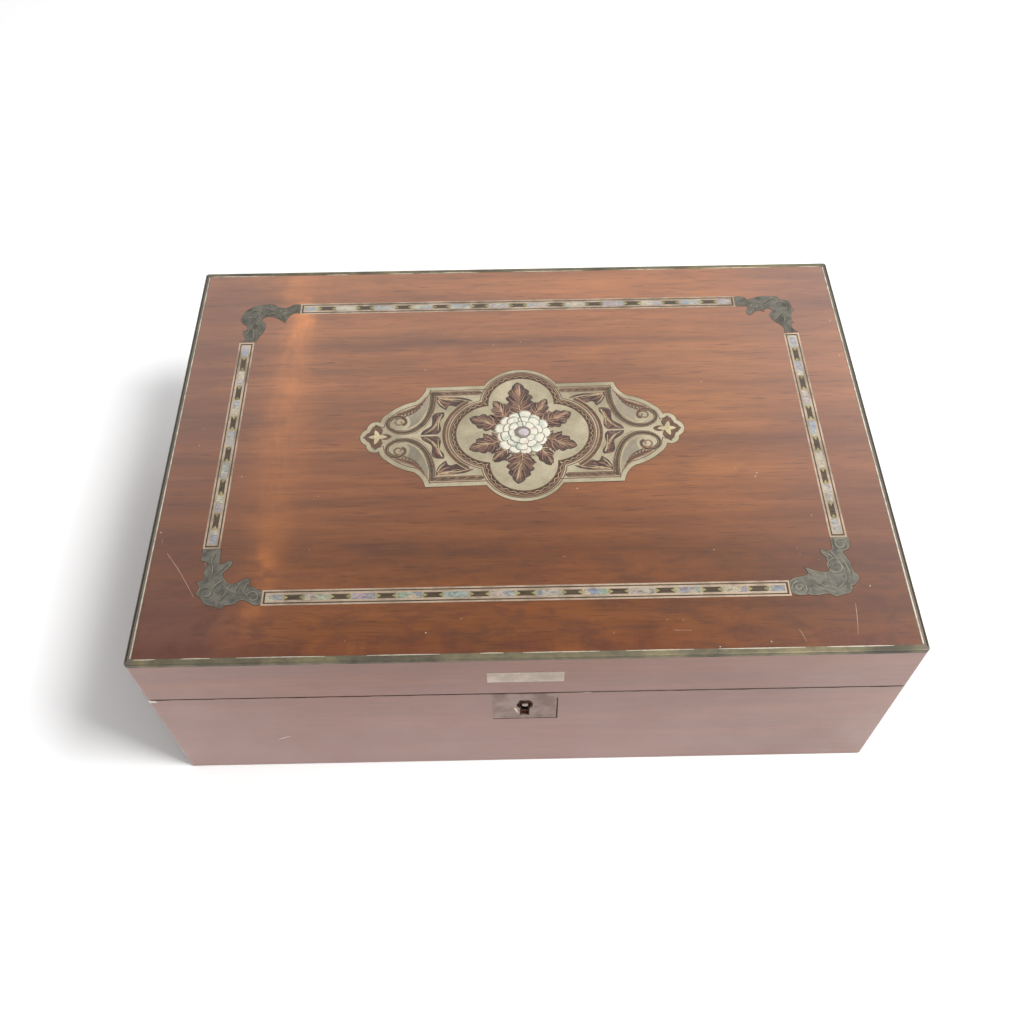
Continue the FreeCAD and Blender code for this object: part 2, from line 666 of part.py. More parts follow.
long_band = band(LONG_BAND[1] - LONG_BAND[0], LONG_BLOCKS, LONG_PITCH)
side_band = band(SIDE_BAND[1] - SIDE_BAND[0], SIDE_BLOCKS, SIDE_PITCH)
long_mid = sum(LONG_BAND) / 2
side_mid = sum(SIDE_BAND) / 2
bands = [place_band(long_band, long_mid, BAND_FRONT_Y, 0), place_band(long_band, long_mid, BAND_BACK_Y, 0),
         place_band(side_band, BAND_LEFT_X, side_mid, 90), place_band(side_band, BAND_RIGHT_X, side_mid, 90)]
for name, kind in (("band_brass_lines", "brass"), ("band_dark_fillets", "dark"),
                   ("band_ebony_blocks", "blocks"), ("band_shell_plates", "shell")):
    keep(name, [shape for placed in bands for shape in placed[kind]])
band_fields = [placed["field"][0] for placed in bands]

# --- corner mounts: foliate scrolls, each cut by hand ---------------------------------------------
corner_outlines = {
    "front_left": [
        [(-143.2, -64.3), (-143.0, -69.0), (-142.1, -72.8), (-139.0, -71.2), (-137.2, -71.0)],
        [(-137.2, -71.0), (-137.9, -74.5), (-140.5, -78.0), (-139.2, -80.9)],
        [(-139.2, -80.9), (-136.9, -83.4), (-132.8, -83.1), (-130.4, -81.5), (-127.4, -81.6)],
        [(-127.4, -81.6), (-126.9, -84.8), (-124.4, -86.2), (-121.2, -88.2)],
        [(-121.2, -88.2), (-121.2, -94.4)],
        [(-121.2, -94.4), (-123.6, -95.2), (-126.7, -93.4), (-130.3, -92.4), (-132.8, -94.2), (-136.4, -94.9),
         (-139.5, -97.0)],
        [(-139.5, -97.0), (-142.5, -95.2), (-146.2, -94.2), (-148.7, -91.0), (-152.0, -88.6)],
        [(-152.0, -88.6), (-150.4, -85.9), (-152.5, -82.2)],
        [(-152.5, -82.2), (-148.6, -80.0), (-149.4, -76.6), (-148.0, -73.9), (-152.0, -70.4)],
        [(-152.0, -70.4), (-151.2, -67.0), (-151.9, -64.3)],
        [(-151.9, -64.3), (-143.2, -64.3)],
    ],
    "front_right": [
        [(144.8, -64.3), (153.0, -64.3)],
        [(153.0, -64.3), (153.4, -68.0), (151.6, -70.9)],
        [(151.6, -70.9), (149.4, -72.6), (151.2, -77.5), (152.1, -82.6), (153.8, -85.6), (152.8, -88.4),
         (149.6, -90.6)],
        [(149.6, -90.6), (149.2, -93.4), (145.7, -95.2), (141.6, -96.3)],
        [(141.6, -96.3), (137.6, -94.7), (133.4, -95.3), (129.0, -94.6)],
        [(129.0, -94.6), (125.6, -95.3), (121.7, -93.6)],
        [(121.7, -93.6), (121.7, -88.2)],
        [(121.7, -88.2), (124.2, -86.1), (127.6, -85.4), (130.2, -84.4), (129.4, -80.2)],
        [(129.4, -80.2), (132.6, -81.6), (136.2, -82.9), (140.2, -83.0), (142.0, -80.6)],
        [(142.0, -80.6), (141.1, -77.6), (141.2, -74.8)],
        [(141.2, -74.8), (139.6, -73.4), (139.2, -70.6)],
        [(139.2, -70.6), (142.2, -71.6), (144.9, -70.3)],
        [(144.9, -70.3), (144.8, -64.3)],
    ],
    "back_left": [
        [(-143.0, 70.2), (-142.0, 73.4), (-139.6, 78.6), (-139.2, 82.6), (-142.0, 85.8)],
        [(-142.0, 85.8), (-139.8, 89.0), (-136.6, 89.2), (-132.4, 87.4), (-128.7, 84.2)],
        [(-128.7, 84.2), (-127.6, 87.6), (-125.6, 90.4), (-121.2, 91.4)],
        [(-121.2, 91.4), (-121.2, 97.6)],
        [(-121.2, 97.6), (-124.6, 98.0), (-128.0, 96.0), (-131.4, 95.6), (-135.0, 97.4), (-139.8, 98.6)],
        [(-139.8, 98.6), (-145.2, 97.6), (-150.6, 94.2), (-152.6, 89.4)],
        [(-152.6, 89.4), (-151.4, 84.0), (-148.6, 80.2), (-150.8, 77.6), (-149.2, 73.4), (-151.6, 70.2)],
        [(-151.6, 70.2), (-143.0, 70.2)],
    ],
    "back_right": [
        [(145.6, 70.2), (145.4, 74.2), (141.8, 78.4), (139.6, 82.2), (141.6, 86.6)],
        [(141.6, 86.6), (139.4, 88.8), (136.6, 86.2)],
        [(136.6, 86.2), (133.6, 87.2), (130.8, 85.6), (128.4, 84.0)],
        [(128.4, 84.0), (127.4, 87.4), (128.2, 90.2), (125.4, 91.0), (121.7, 91.2)],
        [(121.7, 91.2), (121.7, 97.4)],
        [(121.7, 97.4), (126.4, 97.8), (128.8, 95.0)],
        [(128.8, 95.0), (132.2, 97.0), (137.4, 98.2), (142.4, 97.8), (145.8, 98.4)],
        [(145.8, 98.4), (147.4, 95.0), (151.0, 94.2), (152.2, 90.4), (153.4, 87.0)],
        [(153.4, 87.0), (151.2, 84.6), (150.6, 79.6), (149.9, 75.0), (152.6, 70.2)],
        [(152.6, 70.2), (145.6, 70.2)],
    ],
}
corner_fields = []
for corner, stretches in corner_outlines.items():
    keep("corner_mount_" + corner, outline(stretches, veneer_top, inlay_top))
    corner_fields.append(outline(stretches, veneer_top - 1, HEIGHT + 1))

# --- cartouche -------------------------------------------------------------------------------------
# Drawn about its own centre, one quarter at a time, then turned and set in the lid.
INLAY_FLOOR = HEIGHT - 0.5


def set_in_lid(shape):
    placed = shape.copy()
    placed.rotate(Vector(0, 0, 0), Vector(0, 0, 1), CARTOUCHE_TURN)
    placed.translate(Vector(CARTOUCHE_CENTRE[0], CARTOUCHE_CENTRE[1], 0))
    return placed


def cartouche_blank(z0, z1):
    quarter = [
        [(0, 0), (0, 42.8)],
        [(0, 42.8), (9.9, 40.5), (18.9, 32.4)],
        [(18.9, 32.4), (49.2, 32.4)],
        [(49.2, 32.4), (50.9, 27.4), (55.2, 22.8)],
        [(55.2, 22.8), (62.6, 19.9), (68.8, 15.2)],
        [(68.8, 15.2), (71.4, 12.6), (72.6, 9.4)],
        [(72.6, 9.4), (76.9, 9.3), (79.2, 5.0)],
        [(79.2, 5.0), (81.6, 3.0), (82.6, 0)],
        [(82.6, 0), (0, 0)],
    ]
    return joined(four_ways(outline(quarter, z0, z1)))


def lobes(grow, z0, z1):
    """Four-lobed field: two deep lobes above and below, two wide ones at the sides."""
    discs = []
    for side in (-1, 1):
        discs.append(Part.makeCylinder(17.0 + grow, z1 - z0, Vector(0, side * 19.5, z0)))
        discs.append(Part.makeCylinder(18.6 + grow, z1 - z0, Vector(side * 15.2, 0, z0)))
    return joined(discs)


RING_WIDE = 3.4
ring = lobes(RING_WIDE, INLAY_FLOOR, inlay_top).cut(lobes(0, INLAY_FLOOR - 1, inlay_top + 1))

volute = ribbon([(46.0, 29.2), (46.2, 21.0), (48.7, 12.0), (52.8, 5.9), (58.8, 2.6), (65.6, 3.6), (69.0, 7.2),
                 (68.4, 11.0), (65.0, 13.2), (61.0, 12.3), (59.4, 9.4), (61.6, 7.4)],
                2.2, 1.6, INLAY_FLOOR, inlay_top)
rail = outline([[(20.0, 26.8), (44.9, 26.8)], [(44.9, 26.8), (44.9, 28.6)], [(44.9, 28.6), (20.0, 28.6)],
                [(20.0, 28.6), (20.0, 26.8)]], INLAY_FLOOR, inlay_top)
quarter_frame = joined([volute, rail.cut(lobes(RING_WIDE + 0.4, INLAY_FLOOR - 1, inlay_top + 1))])

field_shape = outline([
    [(48.4, 27.6), (50.4, 23.4), (54.2, 20.0), (60.5, 17.4), (66.0, 14.9)],
    [(66.0, 14.9), (60.4, 14.5), (57.4, 10.6), (58.0, 6.4), (60.0, 5.0)],
    [(60.0, 5.0), (55.4, 6.6), (51.4, 11.4), (48.6, 18.8), (48.4, 27.6)],
], INLAY_FLOOR, inlay_top)
quarter_field = field_shape.cut(volute)


def trefoil():
    """Three dark petals and a brass eye at the pointed end."""
    petals = [leaf((72.6, 1.2), (75.0, 8.4), 4.6, 1, INLAY_FLOOR, inlay_top),
              leaf((74.2, 0), (81.2, 0), 4.8, 1, INLAY_FLOOR, inlay_top),
              leaf((72.6, -1.2), (75.0, -8.4), 4.6, 1, INLAY_FLOOR, inlay_top)]
    return petals


spandrel = [
    outline([
        [(43.9, 25.6), (36.0, 25.2), (30.0, 24.6), (24.6, 21.9)],
        [(24.6, 21.9), (29.4, 20.6), (33.6, 18.6), (36.0, 19.4), (38.8, 16.4)],
        [(38.8, 16.4), (42.6, 19.8), (43.9, 25.6)],
    ], INLAY_FLOOR, inlay_top),
    outline([
        [(40.2, 15.2), (39.9, 12.6), (42.0, 9.0), (41.6, 5.0), (43.4, 0.5)],
        [(43.4, 0.5), (51.8, 0.5)],
        [(51.8, 0.5), (49.6, 4.0), (46.4, 6.6), (46.2, 10.6), (40.2, 15.2)],
    ], INLAY_FLOOR, inlay_top),
]
spandrel = [shape.cut(lobes(RING_WIDE + 1.2, INLAY_FLOOR - 1, inlay_top + 1)).cut(volute) for shape in spandrel]

PETAL_R = 14.0
leaf_plan = [                      # base, tip, width, lobes of each leaf round the flower
    ((0, 12.5), (-1.6, 34.2), 14.5, 5),
    ((-0.5, -12.5), (-3.4, -32.4), 14.5, 5),
    ((7.5, 11.5), (13.4, 21.8), 6.6, 3),
    ((-7.5, 11.5), (-13.6, 21.8), 6.6, 3),
    ((7.5, -11.5), (13.6, -21.6), 6.6, 3),
    ((-7.5, -11.5), (-15.0, -18.4), 6.6, 3),
    ((11.0, 5.0), (25.6, 12.6), 11.5, 4),
    ((11.0, -5.0), (27.4, -9.6), 11.5, 4),
    ((-11.0, 5.0), (-27.0, 10.4), 11.5, 4),
    ((-11.0, -5.0), (-27.4, -9.8), 11.5, 4),
]
flower_hole = Part.makeCylinder(PETAL_R + 0.6, 10, Vector(0, 0, HEIGHT - 5))
leaves = [leaf(base, tip, width, count, INLAY_FLOOR, inlay_top).cut(flower_hole)
          for base, tip, width, count in leaf_plan]


def petal_ring(petals, r_outer, scallop, z0, z1):
    """A disc with a scalloped rim, one arc to each petal."""
    stretches = []
    for i in range(petals):
        angles = [2 * math.pi * (i + k / 2) / petals for k in range(3)]
        radii = (r_outer - scallop, r_outer, r_outer - scallop)
        stretches.append([(r * math.cos(a), r * math.sin(a)) for r, a in zip(radii, angles)])
    return outline(stretches, z0, z1)


OUTER_PETALS = 14
INNER_PETALS = 10
petals_outer = petal_ring(OUTER_PETALS, PETAL_R, 1.5, INLAY_FLOOR, inlay_top)
petals_inner = petal_ring(INNER_PETALS, 9.2, 1.1, inlay_top, inlay_top + 0.12)
PEARL_RX = 4.6
pearl = Part.makeSphere(PEARL_RX, Vector(0, 0, 0))
squash = FreeCAD.Matrix()
squash.scale(1.0, 0.92, 0.16)
pearl = pearl.transformGeometry(squash)
pearl.translate(Vector(0, 0, inlay_top + 0.12))
pearl = pearl.common(box(-9, 9, -9, 9, inlay_top + 0.12, HEIGHT + 5))

frame_parts = four_ways(quarter_frame)
field_parts = four_ways(quarter_field)
spandrel_parts = [copy for shape in spandrel for solid in shape.Solids for copy in four_ways(solid)]
trefoil_parts = trefoil() + [mirrored(petal, True, False) for petal in trefoil()]
beds = frame_parts + field_parts + spandrel_parts + trefoil_parts + leaves + [ring, petals_outer]
blank = cartouche_blank(veneer_top, inlay_top)
keep("cartouche_plate", set_in_lid(without(blank, beds)))
keep("cartouche_scroll_frame", [set_in_lid(shape) for shape in frame_parts])
keep("cartouche_scroll_fields", [set_in_lid(shape) for shape in field_parts])
keep("cartouche_small_leaves", [set_in_lid(shape) for shape in spandrel_parts + trefoil_parts])
keep("cartouche_ring", set_in_lid(ring))
keep("cartouche_leaves", [set_in_lid(shape) for shape in leaves])
keep("flower_outer_petals", set_in_lid(petals_outer))
keep("flower_inner_petals", set_in_lid(petals_inner))
keep("flower_pearl", set_in_lid(pearl))

# --- lid top veneer, cut out for every inlay ---------------------------------------------------------
top_skin = box(-half_w + EDGING_TOP, half_w - EDGING_TOP, -half_d + EDGING_TOP, half_d - EDGING_TOP,
               veneer_top, HEIGHT)
cartouche_field = set_in_lid(cartouche_blank(veneer_top - 1, HEIGHT + 1))
keep("lid_top_veneer", without(top_skin, band_fields + corner_fields + [cartouche_field]))

# --- write one file per node -------------------------------------------------------------------------
for name in sorted(parts):
    shape = parts[name]
    shape.exportStep("parts/" + name + ".step")
    print(name, len(shape.Solids), "solids", "valid" if shape.isValid() else "NOT VALID", round(shape.Volume, 1))
print(len(parts), "nodes")
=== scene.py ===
import math
import random

import bmesh
import bpy
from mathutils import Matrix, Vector


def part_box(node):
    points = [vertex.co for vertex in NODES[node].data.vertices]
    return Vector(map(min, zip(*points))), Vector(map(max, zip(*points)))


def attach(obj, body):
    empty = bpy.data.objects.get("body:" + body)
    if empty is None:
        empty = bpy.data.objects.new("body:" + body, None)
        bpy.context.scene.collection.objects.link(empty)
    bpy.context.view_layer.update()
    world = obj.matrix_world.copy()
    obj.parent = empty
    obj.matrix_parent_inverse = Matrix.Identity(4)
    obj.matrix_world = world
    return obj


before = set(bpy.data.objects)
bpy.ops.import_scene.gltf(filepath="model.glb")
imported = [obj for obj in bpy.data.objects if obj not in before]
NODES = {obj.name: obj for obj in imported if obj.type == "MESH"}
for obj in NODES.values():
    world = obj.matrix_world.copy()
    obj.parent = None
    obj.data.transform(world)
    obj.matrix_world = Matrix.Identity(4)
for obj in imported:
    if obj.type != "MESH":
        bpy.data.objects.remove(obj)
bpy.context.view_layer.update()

# Looks of an inlaid writing box. Lengths in the helper calls are millimetres in the CAD frame:
# origin at the centre of the underside, +Z up, the lock faces -Y.
MM = 0.001
LOCK_X = -1.1
KEY_Z = 69.0
SINK = 0.02          # how far a strip is let into the surface under it
rng = random.Random(7)


# --- camera, light, floor -------------------------------------------------------------------
def make_camera():
    data = bpy.data.cameras.new("camera")
    data.sensor_width = 36.0
    data.lens = 37.07
    data.clip_start = 0.01
    camera = bpy.data.objects.new("camera", data)
    camera.location = (-0.0073, -0.33654, 0.53585)
    camera.rotation_euler = (math.radians(34.808), math.radians(0.438), math.radians(-0.998))
    bpy.context.scene.collection.objects.link(camera)
    bpy.context.scene.camera = camera


def area_light(name, place, aim, size, power):
    data = bpy.data.lights.new(name, "AREA")
    data.shape = "RECTANGLE"
    data.size, data.size_y = size
    data.energy = power
    lamp = bpy.data.objects.new(name, data)
    lamp.location = place
    lamp.rotation_euler = (Vector(aim) - Vector(place)).to_track_quat("-Z", "Y").to_euler()
    bpy.context.scene.collection.objects.link(lamp)


def make_world():
    """Soft white room: dim overhead, a bright wall behind the box and a paler one to its right."""
    world = bpy.data.worlds.new("room")
    bpy.context.scene.world = world
    world.use_nodes = True
    world.node_tree.nodes.clear()
    sky = Nodes(world.node_tree)
    split = sky.node("SeparateXYZ")
    sky.link(sky.node("TexCoord").outputs["Generated"], split.inputs[0])
    x, y, z = split.outputs
    room = sky.grey(z, [(0.0, 0.95), (0.12, 0.80), (0.30, 0.52), (0.55, 0.50), (0.80, 0.28), (1.0, 0.22)])
    back_wall = sky.times(sky.span(z, 0.50, 0.80, 0.10), sky.span(y, 0.42, 2.0, 0.20))
    right_wall = sky.times(sky.span(x, 0.26, 0.75, 0.16), sky.span(z, 0.50, 0.90, 0.10))
    glow = sky.plus(sky.times(back_wall, 2.2), sky.times(right_wall, 1.3))
    background = sky.node("Background")
    sky.link(sky.plus(room, glow), background.inputs["Strength"])
    sky.link(background.outputs[0], sky.node("OutputWorld").inputs[0])


def make_floor():
    mesh = bpy.data.meshes.new("floor")
    half = 30.0
    mesh.from_pydata([(-half, -half, 0), (half, -half, 0), (half, half, 0), (-half, half, 0)], [],
                     [(0, 1, 2, 3)])
    floor = bpy.data.objects.new("floor", mesh)
    bpy.context.scene.collection.objects.link(floor)
    paper = Shader("floor_paper", roughness=0.9)
    cloud = paper.cloud(3.0, 2.0, 0.5)
    paper.colour(paper.ramp(cloud, [(0.0, (0.90, 0.90, 0.90)), (1.0, (0.93, 0.93, 0.93))]))
    mesh.materials.append(paper.material)


# --- shader building ------------------------------------------------------------------------
class Nodes:
    """Short calls for building a node tree."""

    def __init__(self, tree):
        self.tree = tree

    def node(self, kind, **settings):
        node = self.tree.nodes.new("ShaderNode" + kind)
        for key, value in settings.items():
            setattr(node, key, value)
        return node

    def link(self, start, end):
        self.tree.links.new(start, end)

    def coords(self, scale, turn=0.0):
        coord = self.node("TexCoord")
        mapping = self.node("Mapping")
        mapping.inputs["Scale"].default_value = scale
        mapping.inputs["Rotation"].default_value = (0, 0, math.radians(turn))
        self.link(coord.outputs["Object"], mapping.inputs["Vector"])
        return mapping.outputs["Vector"]

    def noise(self, vector, scale, detail=3.0, roughness=0.5, distortion=0.0):
        node = self.node("TexNoise")
        node.inputs["Scale"].default_value = scale
        node.inputs["Detail"].default_value = detail
        node.inputs["Roughness"].default_value = roughness
        node.inputs["Distortion"].default_value = distortion
        self.link(vector, node.inputs["Vector"])
        return node.outputs["Fac"]

    def cloud(self, scale, detail=3.0, roughness=0.5, distortion=0.0):
        """Noise that is the same in every direction."""
        return self.noise(self.coords((1, 1, 1)), scale, detail, roughness, distortion)

    def cells(self, vector, scale, feature="F1", output="Color"):
        node = self.node("TexVoronoi", feature=feature)
        node.inputs["Scale"].default_value = scale
        self.link(vector, node.inputs["Vector"])
        return node.outputs[output]

    def ramp(self, fac, stops, interpolation="LINEAR"):
        node = self.node("ValToRGB")
        elements = node.color_ramp.elements
        node.color_ramp.interpolation = interpolation
        while len(elements) < len(stops):
            elements.new(1.0)
        for element, (position, colour) in zip(elements, stops):
            element.position = position
            element.color = (*colour, 1)
        self.link(fac, node.inputs["Fac"])
        return node.outputs["Color"]

    def grey(self, fac, stops):
        return self.ramp(fac, [(position, (value, value, value)) for position, value in stops])

    def math(self, operation, a, b=0.0):
        node = self.node("Math", operation=operation)
        for socket, value in zip(node.inputs, (a, b)):
            if isinstance(value, (int, float)):
                socket.default_value = value
            else:
                self.link(value, socket)
        return node.outputs[0]

    def times(self, a, b):
        return self.math("MULTIPLY", a, b)

    def plus(self, a, b):
        return self.math("ADD", a, b)

    def axis(self, letter):
        """Position along one axis, in metres."""
        split = self.node("SeparateXYZ")
        self.link(self.node("TexCoord").outputs["Object"], split.inputs[0])
        return split.outputs[letter]

    def span(self, value, low, high, soft):
        """1 between low and high, fading out over soft on both sides."""
        rise = self.node("MapRange", interpolation_type="SMOOTHSTEP")
        fall = self.node("MapRange", interpolation_type="SMOOTHSTEP")
        for node, start, stop in ((rise, low - soft, low + soft), (fall, high + soft, high - soft)):
            node.inputs["From Min"].default_value = start
            node.inputs["From Max"].default_value = stop
            self.link(value, node.inputs["Value"])
        return self.times(rise.outputs[0], fall.outputs[0])

    def mix(self, fac, a, b, blend="MIX"):
        node = self.node("Mix", data_type="RGBA", blend_type=blend)
        node.clamp_factor = True
        for socket, value in ((node.inputs[0], fac), (node.inputs[6], a), (node.inputs[7], b)):
            if isinstance(value, tuple):
                socket.default_value = (*value, 1)
            elif isinstance(value, (int, float)):
                socket.default_value = value
            else:
                self.link(value, socket)
        return node.outputs[2]


class Shader(Nodes):
    """A Principled material made of those nodes."""

    def __init__(self, name, roughness=0.4, metallic=0.0, coat=0.0, coat_roughness=0.1, **sockets):
        self.material = bpy.data.materials.new(name)
        self.material.use_nodes = True
        super().__init__(self.material.node_tree)
        self.shader = self.tree.nodes["Principled BSDF"]
        self.set("Roughness", roughness)
        self.set("Metallic", metallic)
        self.set("Coat Weight", coat)
        self.set("Coat Roughness", coat_roughness)
        for socket, value in sockets.items():
            self.set(socket.replace("_", " "), value)

    def set(self, socket, value):
        self.shader.inputs[socket].default_value = value

    def colour(self, output):
        self.link(output, self.shader.inputs["Base Color"])

    def rough(self, output):
        self.link(output, self.shader.inputs["Roughness"])

    def bump(self, height, strength, distance):
        node = self.node("Bump")
        node.inputs["Strength"].default_value = strength
        node.inputs["Distance"].default_value = distance
        self.link(height, node.inputs["Height"])
        self.link(node.outputs["Normal"], self.shader.inputs["Normal"])


# --- woods ----------------------------------------------------------------------------------
def wood(name, dark, middle, light, along="X", coat=1.0, coat_roughness=0.13, painted_sheen=None):
    """Figured, open-pored wood under polish. along: the grain's direction."""
    shader = Shader(name, coat=coat, coat_roughness=coat_roughness, Specular_IOR_Level=0.12)
    order = {"X": (1, 14, 14), "Y": (14, 1, 14)}[along]
    figure = shader.noise(shader.coords(order), 4.5, 6.0, 0.58, 0.25)
    colour = shader.ramp(figure, [(0.28, dark), (0.50, middle), (0.72, light)])
    fine = shader.noise(shader.coords(tuple(14 * v for v in order)), 2.2, 4.0, 0.6)
    colour = shader.mix(0.5, colour, shader.grey(fine, [(0.34, 0.66), (0.60, 1.03)]), "MULTIPLY")
    pores = shader.noise(shader.coords(tuple(v * (34 if v == 1 else 60) for v in order)), 2.0, 2.0, 0.5)
    colour = shader.mix(shader.grey(pores, [(0.60, 0.0), (0.70, 0.70)]), colour,
                        tuple(v * 0.35 for v in dark))
    cloud = shader.cloud(9.0, 4.0, 0.55)
    colour = shader.mix(0.5, colour,
                        shader.ramp(cloud, [(0.3, (0.80, 0.76, 0.78)), (0.7, (1.15, 1.06, 1.0))]),
                        "MULTIPLY")
    # A pale tint mixed into the colour: painted sheen standing in for the polish's reflection of the room.
    if painted_sheen:
        colour = shader.mix(painted_sheen[0], colour, painted_sheen[1])
    return shader, colour, fine


def finish_wood(shader, colour, fine, bump=0.12):
    shader.colour(colour)
    smear = shader.cloud(30.0, 3.0, 0.6)
    shader.rough(shader.grey(smear, [(0.3, 0.34), (0.7, 0.55)]))
    shader.bump(fine, bump, 0.0002)
    return shader.material


WALNUT = ((0.100, 0.031, 0.009), (0.172, 0.056, 0.014), (0.245, 0.083, 0.023))


def lid_top_wood():
    """The show veneer: orange sapwood at the left, painted sheen on the back and right, dark mottled front,
    dust.
    """
    shader, colour, fine = wood("lid_top_walnut", *WALNUT, coat_roughness=0.16)
    x = shader.axis("X")
    y = shader.axis("Y")
    # sapwood: a broad faint streak with two bright flares in it, wandering across the grain
    wander = shader.times(shader.math("SUBTRACT", shader.cloud(14.0, 3.0, 0.6), 0.5), 0.05)
    streak_x = shader.plus(x, wander)
    across = shader.noise(shader.coords((8, 3, 1)), 9.0, 5.0, 0.6, 0.6)
    broad = shader.times(shader.span(streak_x, -0.132, -0.112, 0.010), 0.26)
    flare = shader.plus(shader.span(y, -0.106, -0.066, 0.010), shader.span(y, 0.070, 0.100, 0.02))
    narrow = shader.times(shader.span(streak_x, -0.1295, -0.1195, 0.006), flare)
    amount = shader.plus(broad, shader.times(narrow, 0.60))
    sapwood = shader.times(amount, shader.grey(across, [(0.36, 0.25), (0.58, 1.0)]))
    # orange glow in blotches along the front band
    blotch = shader.noise(shader.coords((3, 6, 1)), 8.0, 4.0, 0.6)
    glow = shader.times(shader.span(y, -0.124, -0.070, 0.030), shader.span(x, -0.15, 0.12, 0.06))
    glow = shader.times(glow, shader.grey(blotch, [(0.42, 0.0), (0.66, 0.55)]))
    # broad regions of the lid; the paler back and middle right are painted sheen of reflected light
    back_sheen = shader.times(shader.span(y, 0.018, 0.30, 0.03), 0.9)
    right_sheen = shader.times(shader.span(x, 0.055, 0.30, 0.03), shader.span(y, -0.03, 0.06, 0.03))
    cool_left = shader.times(shader.span(x, -0.19, -0.142, 0.03), 0.5)
    corner = shader.times(shader.span(x, -0.19, -0.125, 0.03), shader.span(y, -0.13, -0.085, 0.03))
    right_end = shader.times(shader.span(x, 0.13, 0.19, 0.03), 0.35)
    front = shader.times(shader.span(y, -0.13, -0.06, 0.05), 0.42)
    # dark figure, a dark front edge and mottling near it
    shade = shader.noise(shader.coords((3, 9, 1)), 3.0, 4.0, 0.55, 0.8)
    figure = shader.grey(shade, [(0.50, 0.0), (0.56, 0.18), (0.60, 0.0)])
    front_edge = shader.times(shader.span(y, -0.13, -0.113, 0.006),
                              shader.grey(across, [(0.4, 0.0), (0.6, 0.5)]))
    patches = shader.noise(shader.coords((2, 5, 1)), 26.0, 5.0, 0.65, 0.5)
    mottle = shader.times(shader.grey(patches, [(0.46, 0.0), (0.62, 0.50)]),
                          shader.span(y, -0.14, -0.062, 0.03))
    # specks of dust, only here and there
    specks = shader.cells(shader.coords((1, 1, 1)), 150.0, output="Distance")
    chance = shader.grey(shader.cloud(160.0, 1.0, 0.5), [(0.54, 0.0), (0.60, 0.7)])
    dust = shader.times(shader.grey(specks, [(0.035, 1.0), (0.055, 0.0)]), chance)
    layers = [
        (sapwood, (0.46, 0.145, 0.028), "MIX"),
        (glow, (0.25, 0.070, 0.011), "MIX"),
        (back_sheen, (1.36, 1.42, 1.50), "MULTIPLY"),
        (right_sheen, (1.22, 1.30, 1.30), "MULTIPLY"),
        (cool_left, (0.085, 0.029, 0.019), "MIX"),
        (shader.times(corner, 0.55), (0.095, 0.047, 0.048), "MIX"),
        (right_end, (0.11, 0.038, 0.030), "MIX"),
        (front, (0.088, 0.030, 0.009), "MIX"),
        (figure, (0.07, 0.022, 0.012), "MIX"),
        (front_edge, (0.085, 0.020, 0.012), "MIX"),
        (mottle, (0.058, 0.021, 0.013), "MIX"),
        (dust, (0.60, 0.50, 0.40), "MIX"),
    ]
    for mask, tint, blend in layers:
        colour = shader.mix(mask, colour, tint, blend)
    return finish_wood(shader, colour, fine)


def plain_walnut(name, along, painted_sheen):
    shader, colour, fine = wood(name, *WALNUT, along=along, painted_sheen=painted_sheen)
    return finish_wood(shader, colour, fine)


def front_wood():
    """The front veneer: painted sheen over it, painted light paler to the right and at the left end,
    painted floor reflection low down, painted shade at the seam.
    """
    shader, colour, fine = wood("front_walnut", *WALNUT, painted_sheen=(0.50, (0.232, 0.112, 0.096)), coat=0.75)
    x = shader.axis("X")
    # Painted light: paler towards both ends of the front, most to the right.
    pale = shader.plus(shader.span(x, 0.12, 0.30, 0.08), shader.span(x, -0.30, -0.14, 0.06))
    colour = shader.mix(shader.times(pale, 0.35), colour, (0.34, 0.185, 0.145))
    # Painted reflection of the white floor: paler near the foot, over the left and middle of the front.
    height = shader.times(shader.axis("Z"), 8.0)
    floor_bounce = shader.times(shader.grey(height, [(0.10, 0.34), (0.60, 0.16), (0.80, 0.05)]),
                       shader.span(x, -0.30, 0.10, 0.05))
    colour = shader.mix(floor_bounce, colour, (0.43, 0.235, 0.205))
    # Painted shade: a dark line in the joint between lid and base.
    seam_shade = shader.span(shader.axis("Z"), 0.0820, 0.0829, 0.0005)
    colour = shader.mix(shader.times(seam_shade, 0.7), colour, (0.050, 0.014, 0.010))
    return finish_wood(shader, colour, fine)


def carcass_wood(name, along):
    shader, colour, fine = wood(name, (0.10, 0.038, 0.018), (0.21, 0.085, 0.038), (0.32, 0.14, 0.065),
                                along=along, coat=0.25, coat_roughness=0.3)
    return finish_wood(shader, colour, fine, bump=0.25)


def dull_dirt_and_shade():
    """Dark brown with no gloss: dirt, and painted shade in the seam under the lid and in the keyhole."""
    shader = Shader("dirt_and_painted_shade", roughness=0.95, Specular_IOR_Level=0.0)
    grain = shader.cloud(700.0, 3.0, 0.6)
    shader.colour(shader.ramp(grain, [(0.35, (0.034, 0.017, 0.013)), (0.70, (0.085, 0.044, 0.034))]))
    return shader.material


def leaf_wood():
    """Stained red-brown wood of the leaves, paler and coppery in patches."""
    shader = Shader("red_brown_inlay", roughness=0.45, coat=0.35, coat_roughness=0.2,
                    Specular_IOR_Level=0.15)
    patch = shader.cloud(260.0, 4.0, 0.62, 0.5)
    shader.colour(shader.ramp(patch, [(0.36, (0.036, 0.020, 0.019)), (0.54, (0.078, 0.043, 0.034)),
                                      (0.72, (0.19, 0.110, 0.075))]))
    shader.bump(patch, 0.12, 0.0001)
    return shader.material


def ebony(name, colour_low, colour_high):
    shader = Shader(name, roughness=0.45, coat=0.35, coat_roughness=0.2, Specular_IOR_Level=0.15)
    fleck = shader.noise(shader.coords((90, 900, 900)), 1.4, 4.0, 0.6)
    shader.colour(shader.ramp(fleck, [(0.35, colour_low), (0.65, colour_high)]))
    shader.bump(fleck, 0.1, 0.0001)
    return shader.material


